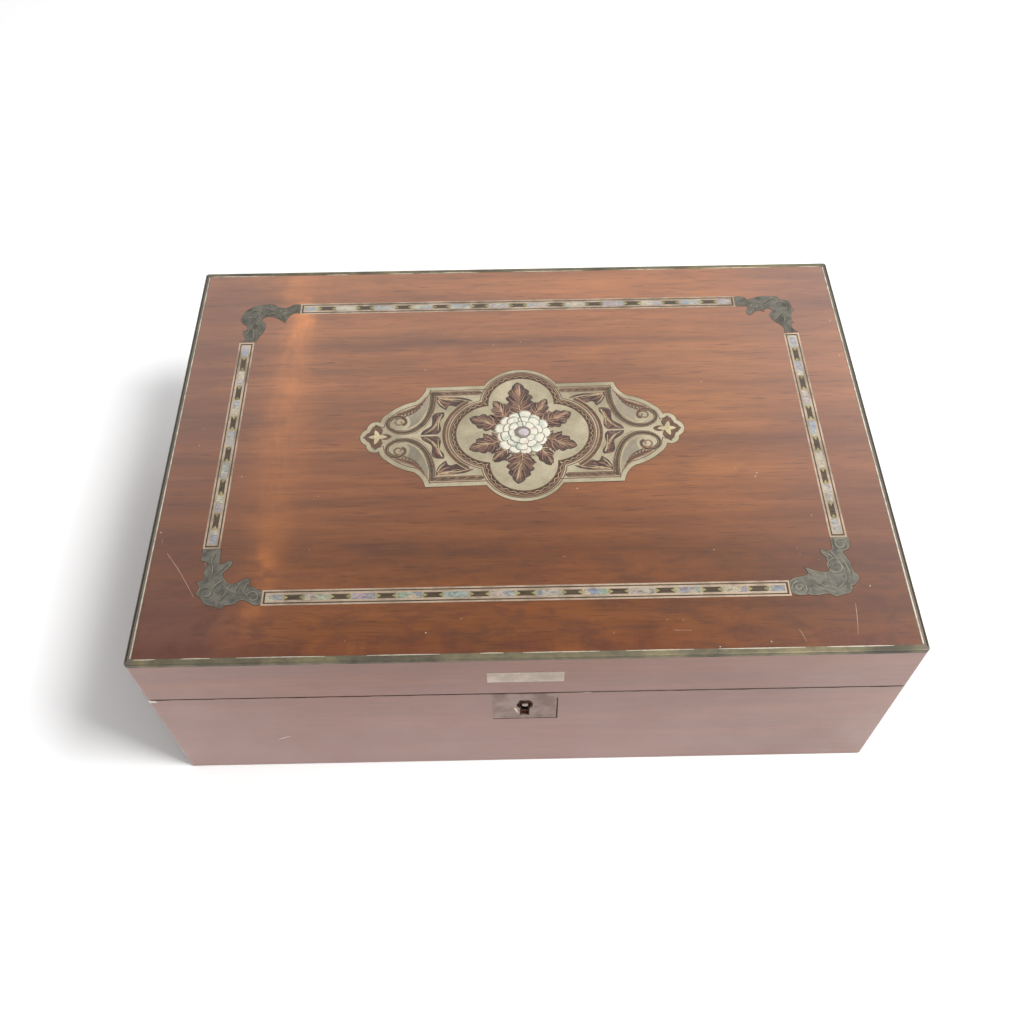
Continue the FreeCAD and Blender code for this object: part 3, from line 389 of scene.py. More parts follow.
# --- metals, shell, bone, leather, glass ----------------------------------------------------
def metal(name, clean, stained, roughness, stain_scale=60.0, scratch=0.25, metallic=0.85,
          stain=(0.42, 0.62)):
    """Old metal: blotches of tarnish over a clean colour, fine scratches, uneven gloss."""
    shader = Shader(name, roughness=roughness, metallic=metallic)
    blot = shader.cloud(stain_scale, 6.0, 0.62, 0.3)
    colour = shader.ramp(blot, [(stain[0], clean), (stain[1], stained)])
    fine = shader.cloud(stain_scale * 18, 2.0, 0.5)
    colour = shader.mix(0.35, colour, shader.grey(fine, [(0.3, 0.7), (0.7, 1.1)]), "MULTIPLY")
    rub = shader.noise(shader.coords((30, 900, 900), 24), 1.3, 3.0, 0.6)
    shader.colour(colour)
    shader.rough(shader.grey(blot,
                             [(0.35, max(0.05, roughness - 0.1)), (0.65, min(1.0, roughness + 0.18))]))
    shader.bump(rub, scratch, 0.00006)
    return shader.material


def edging_brass():
    """Olive tarnish on the brass edging, greyer along the box's ends."""
    shader = Shader("edging_brass", roughness=0.5, metallic=0.5)
    blot = shader.cloud(45.0, 6.0, 0.62, 0.3)
    colour = shader.ramp(blot, [(0.36, (0.20, 0.165, 0.090)), (0.50, (0.125, 0.108, 0.066)),
                                (0.64, (0.075, 0.064, 0.046))])
    end = shader.span(shader.math("ABSOLUTE", shader.axis("X")), 0.1745, 0.20, 0.0005)
    colour = shader.mix(shader.times(end, 0.75), colour, (0.13, 0.108, 0.088))
    fine = shader.noise(shader.coords((6, 60, 60)), 40.0, 3.0, 0.6)
    colour = shader.mix(0.5, colour, shader.grey(fine, [(0.35, 0.65), (0.65, 1.15)]), "MULTIPLY")
    shader.colour(colour)
    shader.rough(shader.grey(blot, [(0.35, 0.42), (0.65, 0.62)]))
    shader.bump(fine, 0.3, 0.00006)
    return shader.material


def abalone():
    """Patches of blue, green, lilac, pink and cream with a wavy play of colour inside each."""
    shader = Shader("abalone", roughness=0.22, coat=0.7, coat_roughness=0.08)
    warp = shader.node("VectorMath", operation="ADD")
    shader.link(shader.coords((1, 1, 1)), warp.inputs[0])
    wobble = shader.node("TexNoise")
    wobble.inputs["Scale"].default_value = 140.0
    scaled = shader.node("VectorMath", operation="SCALE")
    scaled.inputs["Scale"].default_value = 0.009
    shader.link(shader.coords((1, 1, 1)), wobble.inputs["Vector"])
    shader.link(wobble.outputs["Color"], scaled.inputs[0])
    shader.link(scaled.outputs[0], warp.inputs[1])
    patch = shader.cells(warp.outputs[0], 145.0)
    hue = shader.node("SeparateColor")
    shader.link(patch, hue.inputs[0])
    colours = [(0.0, (0.27, 0.24, 0.20)), (0.16, (0.18, 0.20, 0.24)), (0.30, (0.35, 0.29, 0.20)),
               (0.44, (0.20, 0.24, 0.17)), (0.58, (0.22, 0.17, 0.21)), (0.72, (0.35, 0.29, 0.20)),
               (0.86, (0.20, 0.24, 0.21)), (1.0, (0.24, 0.17, 0.14))]
    colour = shader.ramp(hue.outputs[0], colours)
    ripple = shader.noise(shader.coords((0.5, 1.5, 1), 35), 520.0, 3.0, 0.6, 1.6)
    colour = shader.mix(0.8, colour,
                        shader.ramp(ripple, [(0.32, (0.28, 0.30, 0.34)), (0.55, (1.0, 1.0, 1.0)),
                                                          (0.75, (1.5, 1.4, 1.35))]), "MULTIPLY")
    shader.colour(colour)
    return shader.material


def bone(name, low, high, scale=260.0):
    shader = Shader(name, roughness=0.42, coat=0.35, coat_roughness=0.25)
    grain = shader.cloud(scale, 4.0, 0.6)
    shader.colour(shader.ramp(grain, [(0.30, low), (0.65, high)]))
    shader.bump(grain, 0.12, 0.0001)
    return shader.material


def carved_bone():
    """Cream bone with greenish shadows and pinkish patches."""
    shader = Shader("flower_bone", roughness=0.42, coat=0.35, coat_roughness=0.25)
    patch = shader.cloud(210.0, 4.0, 0.6)
    shader.colour(shader.ramp(patch, [(0.34, (0.33, 0.35, 0.28)), (0.46, (0.50, 0.49, 0.40)),
                                      (0.56, (0.57, 0.54, 0.44)), (0.68, (0.52, 0.42, 0.36))]))
    shader.bump(patch, 0.12, 0.0001)
    return shader.material


def leather():
    shader = Shader("writing_leather", roughness=0.55, Specular_IOR_Level=0.4)
    pebble = shader.cells(shader.coords((1, 1, 1)), 900.0, feature="SMOOTH_F1", output="Distance")
    wear = shader.cloud(16.0, 5.0, 0.6)
    shader.colour(shader.ramp(wear, [(0.30, (0.050, 0.012, 0.012)), (0.62, (0.115, 0.022, 0.020)),
                                     (0.80, (0.19, 0.055, 0.040))]))
    shader.rough(shader.grey(wear, [(0.3, 0.62), (0.75, 0.42)]))
    shader.bump(pebble, 0.35, 0.0003)
    return shader.material


def glass():
    shader = Shader("bottle_glass", roughness=0.04, IOR=1.5, Transmission_Weight=0.9)
    swirl = shader.cloud(50.0, 2.0, 0.5)
    shader.colour(shader.ramp(swirl, [(0.3, (0.72, 0.84, 0.84)), (0.7, (0.82, 0.92, 0.90))]))
    shader.bump(swirl, 0.08, 0.001)
    return shader.material


def make_materials():
    pale = (0.445, 0.385, 0.265)
    return {
        "top": lid_top_wood(),
        "front": front_wood(),
        # back, side and flap get a weaker painted sheen than the front
        "back": plain_walnut("back_walnut", "X", (0.18, (0.34, 0.17, 0.12))),
        "side": plain_walnut("side_walnut", "Y", (0.18, (0.34, 0.17, 0.12))),
        "flap": plain_walnut("flap_walnut", "X", (0.10, (0.34, 0.17, 0.12))),
        "board_x": carcass_wood("carcass_x", "X"),
        "board_y": carcass_wood("carcass_y", "Y"),
        "ebony": ebony("ebony", (0.028, 0.019, 0.011), (0.076, 0.052, 0.030)),
        "frame_dark": ebony("scroll_frame_ebony", (0.036, 0.028, 0.017), (0.088, 0.066, 0.040)),
        "red_brown": leaf_wood(),
        "ring": ebony("ring_inlay", (0.036, 0.019, 0.013), (0.085, 0.040, 0.025)),
        "line_brass": metal("line_brass", (0.44, 0.335, 0.245), (0.28, 0.21, 0.15), 0.46, 90.0, 0.3, 0.6),
        "plate": metal("cartouche_brass", pale, (0.31, 0.270, 0.180), 0.46, 55.0, 0.30, 0.6,
                       (0.38, 0.62)),
        "field": metal("field_pewter", (0.30, 0.255, 0.190), (0.22, 0.190, 0.140), 0.48, 30.0, 0.30, 0.6),
        "mount": metal("mount_tarnish", (0.140, 0.130, 0.106), (0.074, 0.070, 0.058), 0.55, 170.0, 0.6,
                       0.45),
        "mount_light": metal("mount_rubbed_and_highlight", (0.235, 0.21, 0.15), (0.13, 0.115, 0.085), 0.48, 300.0, 0.3,
                             0.5),
        "mount_dark": metal("mount_grooves", (0.09, 0.09, 0.07), (0.05, 0.05, 0.04), 0.6, 200.0, 0.3,
                            0.4),
        "edging": edging_brass(),
        "edging_bright": metal("edging_highlight_and_rubbed", (0.56, 0.51, 0.41), (0.36, 0.32, 0.25), 0.4, 300.0, 0.3,
                               0.6),
        "name_plate": metal("name_plate_silver", (0.50, 0.425, 0.355), (0.40, 0.335, 0.275), 0.45, 70.0,
                            0.3, 0.7),
        "escutcheon": metal("escutcheon_metal", (0.285, 0.200, 0.168), (0.215, 0.148, 0.124), 0.5, 90.0,
                            0.5, 0.4),
        "hardware": metal("hardware_brass", (0.50, 0.385, 0.20), (0.30, 0.22, 0.105), 0.36, 50.0, 0.3,
                          0.9, (0.38, 0.60)),
        "steel": metal("steel", (0.42, 0.42, 0.43), (0.20, 0.17, 0.15), 0.38, 80.0, 0.3, 0.95),
        "copper": metal("copper_line", (0.32, 0.185, 0.118), (0.18, 0.100, 0.066), 0.45, 200.0, 0.2, 0.4),
        "gold": metal("gold_line", (0.44, 0.35, 0.20), (0.30, 0.23, 0.13), 0.45, 200.0, 0.2, 0.4),
        "star": metal("trefoil_star", (0.52, 0.45, 0.27), (0.40, 0.31, 0.20), 0.45, 300.0, 0.2, 0.4),
        "brown_line": ebony("brown_line", (0.060, 0.032, 0.020), (0.135, 0.070, 0.042)),
        "pearl_seat": ebony("pearl_seat", (0.13, 0.100, 0.085), (0.22, 0.185, 0.155)),
        "scratch": bone("scratched_polish", (0.26, 0.15, 0.10), (0.42, 0.28, 0.20)),
        "block_gold": metal("block_edging", (0.30, 0.26, 0.125), (0.19, 0.165, 0.085), 0.45, 200.0, 0.2,
                            0.5),
        "dirt_and_shade": dull_dirt_and_shade(),
        "gap": ebony("shadow_line", (0.010, 0.007, 0.006), (0.030, 0.016, 0.012)),
        "shell": abalone(),
        "bone": carved_bone(),
        "bone_shade": bone("flower_engraving", (0.085, 0.075, 0.052), (0.14, 0.125, 0.09)),
        "pearl": bone("pearl", (0.33, 0.285, 0.295), (0.45, 0.40, 0.41), 120.0),
        "chip": bone("chipped_polish", (0.50, 0.42, 0.35), (0.68, 0.60, 0.52)),
        "pin": metal("worn_pin", (0.36, 0.285, 0.26), (0.22, 0.165, 0.15), 0.4, 300.0, 0.3, 0.5),
        "tooling": metal("tooled_gold", (0.55, 0.38, 0.14), (0.34, 0.20, 0.08), 0.4, 200.0, 0.2, 0.8),
        "leather": leather(),
        "glass": glass(),
        "ink": ebony("ink", (0.004, 0.005, 0.018), (0.010, 0.012, 0.040)),
    }


def dress_cad_nodes(look):
    """Every CAD node gets its finished material; longer prefixes win over shorter ones."""
    by_prefix = {
        "base_": "board_x", "base_left": "board_y", "base_right": "board_y",
        "base_front_veneer": "front", "base_back_veneer": "back",
        "base_left_veneer": "side", "base_right_veneer": "side",
        "lid_": "board_x", "lid_left": "board_y", "lid_right": "board_y",
        "lid_top_veneer": "top", "lid_front_veneer": "front", "lid_back_veneer": "back",
        "lid_left_veneer": "side", "lid_right_veneer": "side", "lid_edging": "edging",
        "base_flap_board": "flap", "lid_flap_board": "flap",
        "base_flap_leather": "leather", "lid_flap_leather": "leather",
        "compartment_wall": "board_x", "well_dividers": "board_y", "pen_tray": "board_x",
        "band_brass_lines": "line_brass", "band_dark_fillets": "ebony", "band_ebony_blocks": "ebony",
        "band_shell_plates": "shell", "corner_mount": "mount",
        "cartouche_plate": "plate", "cartouche_scroll_frame": "frame_dark",
        "cartouche_scroll_fields": "field", "cartouche_small_leaves": "red_brown",
        "cartouche_ring": "ring", "cartouche_leaves": "red_brown",
        "flower_outer_petals": "bone_shade", "flower_inner_petals": "bone_shade",
        "flower_pearl": "pearl_seat",
        # the keyhole liner's dark material is painted shade inside the hole
        "name_plate": "name_plate", "escutcheon_plate": "escutcheon", "keyhole_liner": "dirt_and_shade",
        "lock_case": "steel", "lock_bolt": "steel", "lock_top_plate": "hardware",
        "strike_plate": "hardware",
        "hinge_": "hardware", "hinge_pins": "steel", "base_screws": "steel", "lid_screws": "steel",
        "ink_bottles": "glass", "ink_bottle_caps": "hardware",
    }
    for name, node in NODES.items():
        prefix = max((p for p in by_prefix if name.startswith(p)), key=len)
        node.data.materials.clear()
        node.data.materials.append(look[by_prefix[prefix]])


# --- pieces ---------------------------------------------------------------------------------
def add_piece(name, verts, faces, material, body, smooth_shading=False, outward=False, merge=False):
    """A mesh piece riding on a body. outward turns its faces outwards, merge joins points that coincide."""
    mesh = bpy.data.meshes.new(name)
    mesh.from_pydata(verts, [], faces)
    mesh.materials.append(material)
    if outward:
        work = bmesh.new()
        work.from_mesh(mesh)
        if merge:
            bmesh.ops.remove_doubles(work, verts=work.verts, dist=1e-7)
        bmesh.ops.recalc_face_normals(work, faces=work.faces)
        work.to_mesh(mesh)
        work.free()
    for face in mesh.polygons:
        face.use_smooth = smooth_shading
    piece = bpy.data.objects.new(name, mesh)
    bpy.context.scene.collection.objects.link(piece)
    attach(piece, body)
    return piece


def stack_faces(rows, around):
    """Faces between rings of points stacked one after another."""
    faces = []
    for j in range(rows - 1):
        for i in range(around):
            k = (i + 1) % around
            faces.append((j * around + i, j * around + k, (j + 1) * around + k, (j + 1) * around + i))
    return faces


# --- fine work: strips, rims and petals -----------------------------------------------------
class Strips:
    """Collects thin raised strips into one mesh piece."""

    def __init__(self, name, body, material, slot):
        self.name = name
        self.body = body
        self.material = material
        self.slot = slot
        self.verts = []
        self.faces = []
        self.step = 0

    def tube(self, left, right, low, high, closed=False):
        """A strip of rectangular section between two rows of (x, y), each strip a hair above the last."""
        base = len(self.verts)
        self.step = (self.step + 1) % 12
        high += 0.0015 * self.step
        count = len(left)
        for a, b in zip(left, right):
            for (x, y), z in ((a, low), (a, high), (b, high), (b, low)):
                self.verts.append((x * MM, y * MM, z * MM))
        for i in range(count if closed else count - 1):
            here = base + 4 * i
            after = base + 4 * ((i + 1) % count)
            for k in range(4):
                self.faces.append((here + k, here + (k + 1) % 4, after + (k + 1) % 4, after + k))
        if not closed:
            self.faces.append((base, base + 1, base + 2, base + 3))
            end = base + 4 * (count - 1)
            self.faces.append((end + 3, end + 2, end + 1, end))

    def line(self, points, width_start, width_end, low, high, closed=False, swell=0.0):
        """A strip along a smooth curve through the points, tapering and swelling at its middle."""
        path = smooth(points, closed)
        left = []
        right = []
        count = len(path)
        for i, (x, y) in enumerate(path):
            before = path[i - 1] if (i or closed) else path[0]
            after = path[(i + 1) % count] if (i < count - 1 or closed) else path[-1]
            dx = after[0] - before[0]
            dy = after[1] - before[1]
            size = math.hypot(dx, dy) or 1.0
            t = i / max(1, count - 1)
            half = (width_start + (width_end - width_start) * t + swell * math.sin(math.pi * t)) / 2
            left.append((x - dy / size * half, y + dx / size * half))
            right.append((x + dy / size * half, y - dx / size * half))
        self.tube(left, right, low, high, closed)

    def make(self):
        add_piece(self.name, self.verts, self.faces, self.material, self.body, outward=True)


def smooth(points, closed=False, steps=7):
    """Catmull-Rom curve through the points; two points stay a straight line."""
    if len(points) < 3:
        return list(points)
    path = []
    count = len(points)
    for i in range(count if closed else count - 1):
        if closed:
            p = [points[(i + k) % count] for k in (-1, 0, 1, 2)]
        else:
            p = [points[max(i - 1, 0)], points[i], points[i + 1], points[min(i + 2, count - 1)]]
        for s in range(steps):
            t = s / steps
            weights = (-0.5 * t + t * t - 0.5 * t ** 3, 1 - 2.5 * t * t + 1.5 * t ** 3,
                       0.5 * t + 2 * t * t - 1.5 * t ** 3, -0.5 * t * t + 0.5 * t ** 3)
            path.append((sum(w * q[0] for w, q in zip(weights, p)),
                         sum(w * q[1] for w, q in zip(weights, p))))
    if not closed:
        path.append(points[-1])
    return path


def top_loops(node_name):
    """Closed outlines, in mm, of a node's upper faces, each with its inside on the left."""
    work = bmesh.new()
    work.from_mesh(NODES[node_name].data)
    bmesh.ops.remove_doubles(work, verts=work.verts, dist=1e-6)
    top = max(v.co.z for v in work.verts)
    upper = [f for f in work.faces if f.normal.z > 0.9 and f.calc_center_median().z > top - 0.00006]
    in_upper = set(upper)
    after = {}
    for face in upper:
        for loop in face.loops:
            if not any(f in in_upper for f in loop.edge.link_faces if f is not face):
                after.setdefault(loop.vert.index, []).append(loop.link_loop_next.vert.index)
    work.verts.ensure_lookup_table()
    loops = []
    while after:
        start = next(iter(after))
        here = start
        loop = []
        while here in after:
            loop.append((work.verts[here].co.x / MM, work.verts[here].co.y / MM))
            options = after[here]
            following = options.pop()
            if not options:
                del after[here]
            here = following
        if len(loop) > 2:
            loops.append(loop)
    work.free()
    return loops, top / MM


def inset(loop, distance):
    """The loop moved to its left, mitred at corners and kept from spiking."""
    moved = []
    count = len(loop)
    for i in range(count):
        a, b, c = loop[i - 1], loop[i], loop[(i + 1) % count]
        n1 = unit(-(b[1] - a[1]), b[0] - a[0])
        n2 = unit(-(c[1] - b[1]), c[0] - b[0])
        total = (n1[0] + n2[0], n1[1] + n2[1])
        size = total[0] ** 2 + total[1] ** 2
        scale = min(2 / size, 1.6) if size > 1e-6 else 0.0
        moved.append((b[0] + total[0] * scale * distance, b[1] + total[1] * scale * distance))
    return moved


def unit(x, y):
    size = math.hypot(x, y) or 1.0
    return x / size, y / size


def length_of(loop):
    return sum(math.dist(loop[i - 1], loop[i]) for i in range(len(loop)))


def rim(strips, node_name, start, width, raise_by=0.03, longest_only=False):
    """A line that runs round a node's upper face, start mm in from its edge."""
    loops, top = top_loops(node_name)
    if longest_only:
        loops = [max(loops, key=length_of)]
    for loop in loops:
        strips.tube(inset(loop, start), inset(loop, start + width), top - SINK, top + raise_by,
                    closed=True)


def spiral(cx, cy, r_start, r_end, angle, turns, steps=16):
    """Points of a scroll, from its outer end inwards. Angle in degrees; turns negative is clockwise."""
    count = max(6, int(abs(turns) * steps))
    points = []
    for i in range(count + 1):
        t = i / count
        r = r_start + (r_end - r_start) * t
        a = math.radians(angle) + 2 * math.pi * turns * t
        points.append((cx + r * math.cos(a), cy + r * math.sin(a)))
    return points


# --- cartouche ------------------------------------------------------------------------------
plate_low, plate_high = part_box("cartouche_plate")
CART_X = (plate_low.x + plate_high.x) / 2 / MM
CART_Y = (plate_low.y + plate_high.y) / 2 / MM
CART_TOP = plate_high.z / MM
CART_TURN = math.radians(1.0)


def cart(points, flip_x=False, flip_y=False):
    """Points drawn about the cartouche's centre, mirrored as asked, moved to the lid."""
    placed = []
    for x, y in points:
        x = -x if flip_x else x
        y = -y if flip_y else y
        placed.append((CART_X + x * math.cos(CART_TURN) - y * math.sin(CART_TURN),
                       CART_Y + x * math.sin(CART_TURN) + y * math.cos(CART_TURN)))
    return placed


QUARTERS = [(fx, fy) for fx in (False, True) for fy in (False, True)]
LEAVES = [                     # base, tip, width of each leaf round the flower
    ((-6.5, 8.0), (-14.4, 21.8), 13.5), ((6.0, 8.5), (12.8, 22.2), 12.5),
    ((-8.0, -9.0), (-15.8, -17.6), 7.5), ((8.0, -9.5), (14.6, -20.4), 10.0),
    ((10.0, 5.5), (24.6, 13.2), 12.0), ((10.0, -4.0), (27.4, -9.6), 15.0),
    ((-10.0, 5.0), (-26.6, 10.0), 12.0), ((-10.0, -4.0), (-27.2, -9.6), 15.0),
    ((0, 10.5), (-1.6, 34.2), 16.5), ((-0.5, -10.5), (-3.4, -32.4), 16.5),
]


def leaf_half_width(t, width):
    """Half the width of a leaf's body at t of its length."""
    return width / 2 * math.sin(math.pi * min(1, t * 0.90 + 0.10) ** 0.85)


def lobe_count(width):
    """Broader leaves have more lobes."""
    return 5 if width > 15 else 4 if width > 10 else 3


def vein_lines(base, tip, width, lobes):
    """A leaf's midrib, and pairs of strokes that sweep from it out to each lobe."""
    length = math.dist(base, tip)
    ux, uy = unit(tip[0] - base[0], tip[1] - base[1])

    def at(t, w):
        return base[0] + t * length * ux - w * uy, base[1] + t * length * uy + w * ux

    lines = [[at(0.04, 0), at(0.35, 0.04 * width), at(0.65, -0.04 * width), at(0.95, 0)]]
    for i in range(lobes):
        start = 0.04 + 0.66 * i / lobes
        stop = min(0.93, (i + 0.93) / lobes + 0.01)
        reach = leaf_half_width(stop, width) * 0.84
        for side in (-1, 1):
            lines.append([at(start, 0), at((start * 2 + stop) / 3, side * reach * 0.30),
                          at((start + stop) / 2, side * reach * 0.62), at(stop, side * reach)])
            lines.append([at(start + 0.06, side * reach * 0.04),
                          at((start + stop) / 2 + 0.05, side * reach * 0.30),
                          at(stop + 0.03, side * reach * 0.62)])
    return lines


def engrave_leaves(gold, copper, dark):
    low = CART_TOP - SINK
    for base, tip, width in LEAVES:
        for i, line in enumerate(vein_lines(base, tip, width, lobe_count(width))):
            target = gold if i == 0 or i % 7 == 3 else copper
            target.line(cart(line), 0.52, 0.08, low, CART_TOP + 0.06, swell=0.40 if i % 2 else 0.14)
    rim(dark, "cartouche_leaves", 0.0, 0.28, 0.02)


def engrave_small_leaves(gold, copper, dark, star):
    """Fans of fine lines in the spandrel leaves, and a flower in each end trefoil."""
    low = CART_TOP - SINK
    high = CART_TOP + 0.04
    fans = [
        [[(43.0, 25.0), (38.5, 23.6), (33.0, 23.6), (26.2, 22.0)],
         [(43.0, 24.4), (40.0, 21.6), (37.0, 20.6)],
         [(43.2, 23.4), (41.6, 20.4), (39.4, 18.2)], [(41.0, 24.8), (37.0, 24.6), (33.4, 24.4)]],
        [[(41.0, 13.8), (42.6, 9.0), (43.0, 3.0)], [(42.4, 12.4), (44.4, 7.6), (47.4, 2.2)],
         [(43.6, 7.2), (46.2, 3.8), (50.0, 1.2)]],
    ]
    for fx, fy in QUARTERS:
        for fan in fans:
            for i, line in enumerate(fan):
                target = copper if i % 2 else gold
                target.line(cart(line, fx, fy), 0.7, 0.2, low, high, swell=0.2)
        for line in ([(39.4, 24.8), (35.6, 22.8), (31.6, 22.2)],
                     [(42.0, 10.6), (45.0, 6.0), (48.6, 2.0)]):
            gold.line(cart(line, fx, fy), 0.5, 0.1, low, high + 0.01)
    for flip in (False, True):
        for angle in (0, 74, -74):
            a = math.radians(angle)
            dark.line(cart([(73.4 + r * math.cos(a), r * math.sin(a)) for r in (0.4, 3.8, 7.0)], flip),
                      1.2, 0.8, low, high + 0.01, swell=5.8)
        dark.line(cart([(66.6, 0), (69.5, 0), (73.4, 0)], flip), 0.3, 1.2, low, high + 0.01, swell=3.0)
        for angle in (0, 72, 180, 288):
            a = math.radians(angle)
            star.line(cart([(73.6 + r * math.cos(a), r * math.sin(a)) for r in (-0.6, 2.0, 4.7)], flip),
                      1.5, 0.1, low, high + 0.05, swell=1.5)
            gold.line(cart([(73.6 + r * math.cos(a), r * math.sin(a)) for r in (0.2, 3.6)], flip),
                      0.3, 0.1, low, high + 0.07)


def engrave_fields(brown, copper):
    """Feathery leaves along the outer edge of each scroll field, and the scroll's own tail."""
    low = CART_TOP - SINK
    high = CART_TOP + 0.03
    stem = [(49.6, 25.4), (53.8, 20.2), (59.6, 17.0), (64.8, 14.7)]
    for fx, fy in QUARTERS:
        brown.line(cart([(49.6, 25.0), (53.4, 19.4), (59.2, 16.1), (64.4, 14.0)], fx, fy), 0.5, 0.9, low,
                   high, swell=1.3)
        path = smooth(stem)
        for i in range(2, len(path) - 1, 2):
            x, y = path[i]
            reach = 4.4 * math.sin(math.pi * i / len(path)) + 0.8
            brown.line(cart([(x, y), (x - 0.1 * reach, y - 0.6 * reach), (x + 0.45 * reach, y - reach)],
                            fx, fy),
                       0.95, 0.15, low, high, swell=0.2)
        copper.line(cart(stem, fx, fy), 0.45, 0.45, low, high + 0.02)
        brown.line(cart(spiral(62.8, 9.2, 3.0, 0.8, 150, -1.1), fx, fy), 1.1, 0.6, low, high)
        copper.line(cart(spiral(62.8, 9.2, 3.0, 0.8, 150, -1.1), fx, fy), 0.35, 0.25, low, high + 0.02)


def lobe_arc(cx, cy, radius, other, step_deg, wave=0.0, waves=0):
    """Points along one lobe of the quatrefoil between its two cusps with the neighbouring lobes."""
    ox, oy, o_radius = other
    gap = math.hypot(ox - cx, oy - cy)
    along = (gap ** 2 + radius ** 2 - o_radius ** 2) / (2 * gap)
    half = math.acos(max(-1, min(1, along / radius)))
    toward = math.atan2(oy - cy, ox - cx)
    out = math.atan2(cy, cx)
    turn = (toward - out + math.pi) % (2 * math.pi) - math.pi
    limit = abs(turn) - half
    count = max(4, int(2 * limit / math.radians(step_deg)))
    points = []
    for i in range(count + 1):
        a = out - limit + 2 * limit * i / count
        r = radius + (wave * abs(math.sin(math.pi * waves * i / count)) if waves else 0)
        points.append((cx + r * math.cos(a), cy + r * math.sin(a)))
    return points


def engrave_ring(gold, brown, copper):
    """Chain of scallops in the quatrefoil ring and fine lines each side of it."""
    low = CART_TOP - SINK
    high = CART_TOP + 0.04
    lobes = [(0, 19.5, 17.0), (0, -19.5, 17.0), (15.2, 0, 18.6), (-15.2, 0, 18.6)]
    for cx, cy, r in lobes:
        nx, ny, nr = (15.2, 0, 18.6) if cx == 0 else (0, 19.5, 17.0)
        for grow, width in ((0.15, 0.5), (3.2, 0.5), (4.4, 0.45)):
            brown.line(cart(lobe_arc(cx, cy, r + grow, (nx, ny, nr + grow), 6)), width, width, low,
                       high - 0.02)
        scallops = 15 if cx == 0 else 17
        chain = lobe_arc(cx, cy, r + 0.95, (nx, ny, nr + 0.95), 1.4, 0.95, scallops)
        gold.line(cart(chain), 0.30, 0.30, low, high)
        copper.line(cart(lobe_arc(cx, cy, r + 2.75, (nx, ny, nr + 2.75), 6)), 0.45, 0.45, low, high)
    for side in (-1, 1):
        for radius, width, target in ((23.5, 0.4, copper), (24.9, 1.7, brown), (25.9, 0.35, gold)):
            arc = [(side * (15.2 + radius * math.cos(math.radians(a))),
                    radius * math.sin(math.radians(a)))
                   for a in range(-60, 61, 5)]
            target.line(cart(arc), width, width, low, high + (0.01 if width < 1 else 0))


def engrave_frame(look, brown, copper, gold):
    """The scroll frame's full width, fine lines beside it and just inside the plate's edge."""
    rim(brown, "cartouche_plate", 2.3, 0.45, 0.02, longest_only=True)
    low = CART_TOP - SINK
    high = CART_TOP + 0.03
    frame_band = Strips("scroll_frame_band", "lid", look["frame_dark"], "ebony")
    sweep = [(45.9, 29.0), (46.1, 21.0), (48.5, 12.0), (52.5, 6.0), (58.4, 2.6), (64.6, 2.9)]
    curl = [(64.6, 2.9), (68.2, 5.8), (68.6, 9.6), (65.4, 12.6), (61.3, 12.2), (59.6, 9.4), (61.4, 7.4)]
    inner = [(44.1, 26.0), (44.3, 21.0), (46.7, 11.4), (50.6, 4.6), (56.6, 0.9)]
    outer = [(47.9, 28.0), (48.0, 21.6), (50.4, 13.4), (54.2, 7.8), (58.8, 4.6)]
    for fx, fy in QUARTERS:
        frame_band.line(cart(sweep, fx, fy), 3.1, 2.6, low, high)
        frame_band.line(cart(curl, fx, fy), 2.4, 1.3, low, high)
        copper.line(cart(inner, fx, fy), 0.45, 0.3, low, high + 0.02)
        gold.line(cart(outer, fx, fy), 0.35, 0.25, low, high + 0.02)
        frame_band.line(cart([(21.0, 27.7), (44.9, 27.7)], fx, fy), 2.5, 2.5, low, high)
        for shift in (-1.35, 1.35):
            copper.line(cart([(21.5, 27.7 + shift), (44.9, 27.7 + shift)], fx, fy), 0.35, 0.35, low,
                        high + 0.02)
        place = 23.0
        while place < 43:
            copper.line(cart([(place, 27.3), (place + 2.4, 28.1)], fx, fy), 0.5, 0.15, low, high + 0.02)
            place += rng.uniform(3.4, 5.2)
    frame_band.make()
    rim(copper, "cartouche_scroll_frame", 0.0, 0.30, 0.045)


# --- flower ---------------------------------------------------------------------------------
def petal_edge(s):
    """How far a petal's rim reaches, from 1 at its middle to less at its sides (s from -1 to 1)."""
    return 1 - 0.105 * abs(s) ** 2.6 - 0.02 * max(0, 1 - abs(s) * 5)


def petal(verts, faces, inner, outer, angle, spread, z, lift, tilt):
    """One domed petal: a fan from the centre side to a rounded, slightly notched tip."""
    across = 10
    along = 6
    base = len(verts)
    for j in range(along + 1):
        t = j / along
        for i in range(across + 1):
            s = i / across * 2 - 1
            a = angle + s * spread
            r = inner + (outer * petal_edge(s) - inner) * t
            dome = lift * (1 - s * s) * math.sin(math.pi * (0.12 + 0.80 * t)) + tilt * (1 - t)
            verts.append(((CART_X + r * math.cos(a)) * MM, (CART_Y + r * math.sin(a)) * MM,
                          (z + dome) * MM))
    for j in range(along):
        for i in range(across):
            a = base + j * (across + 1) + i
            faces.append((a, a + across + 1, a + across + 2, a + 1))


def petal_size(angle, count):
    """Petals differ a little in length, as cut by hand."""
    return 1 + 0.050 * math.sin(5 * angle + count)


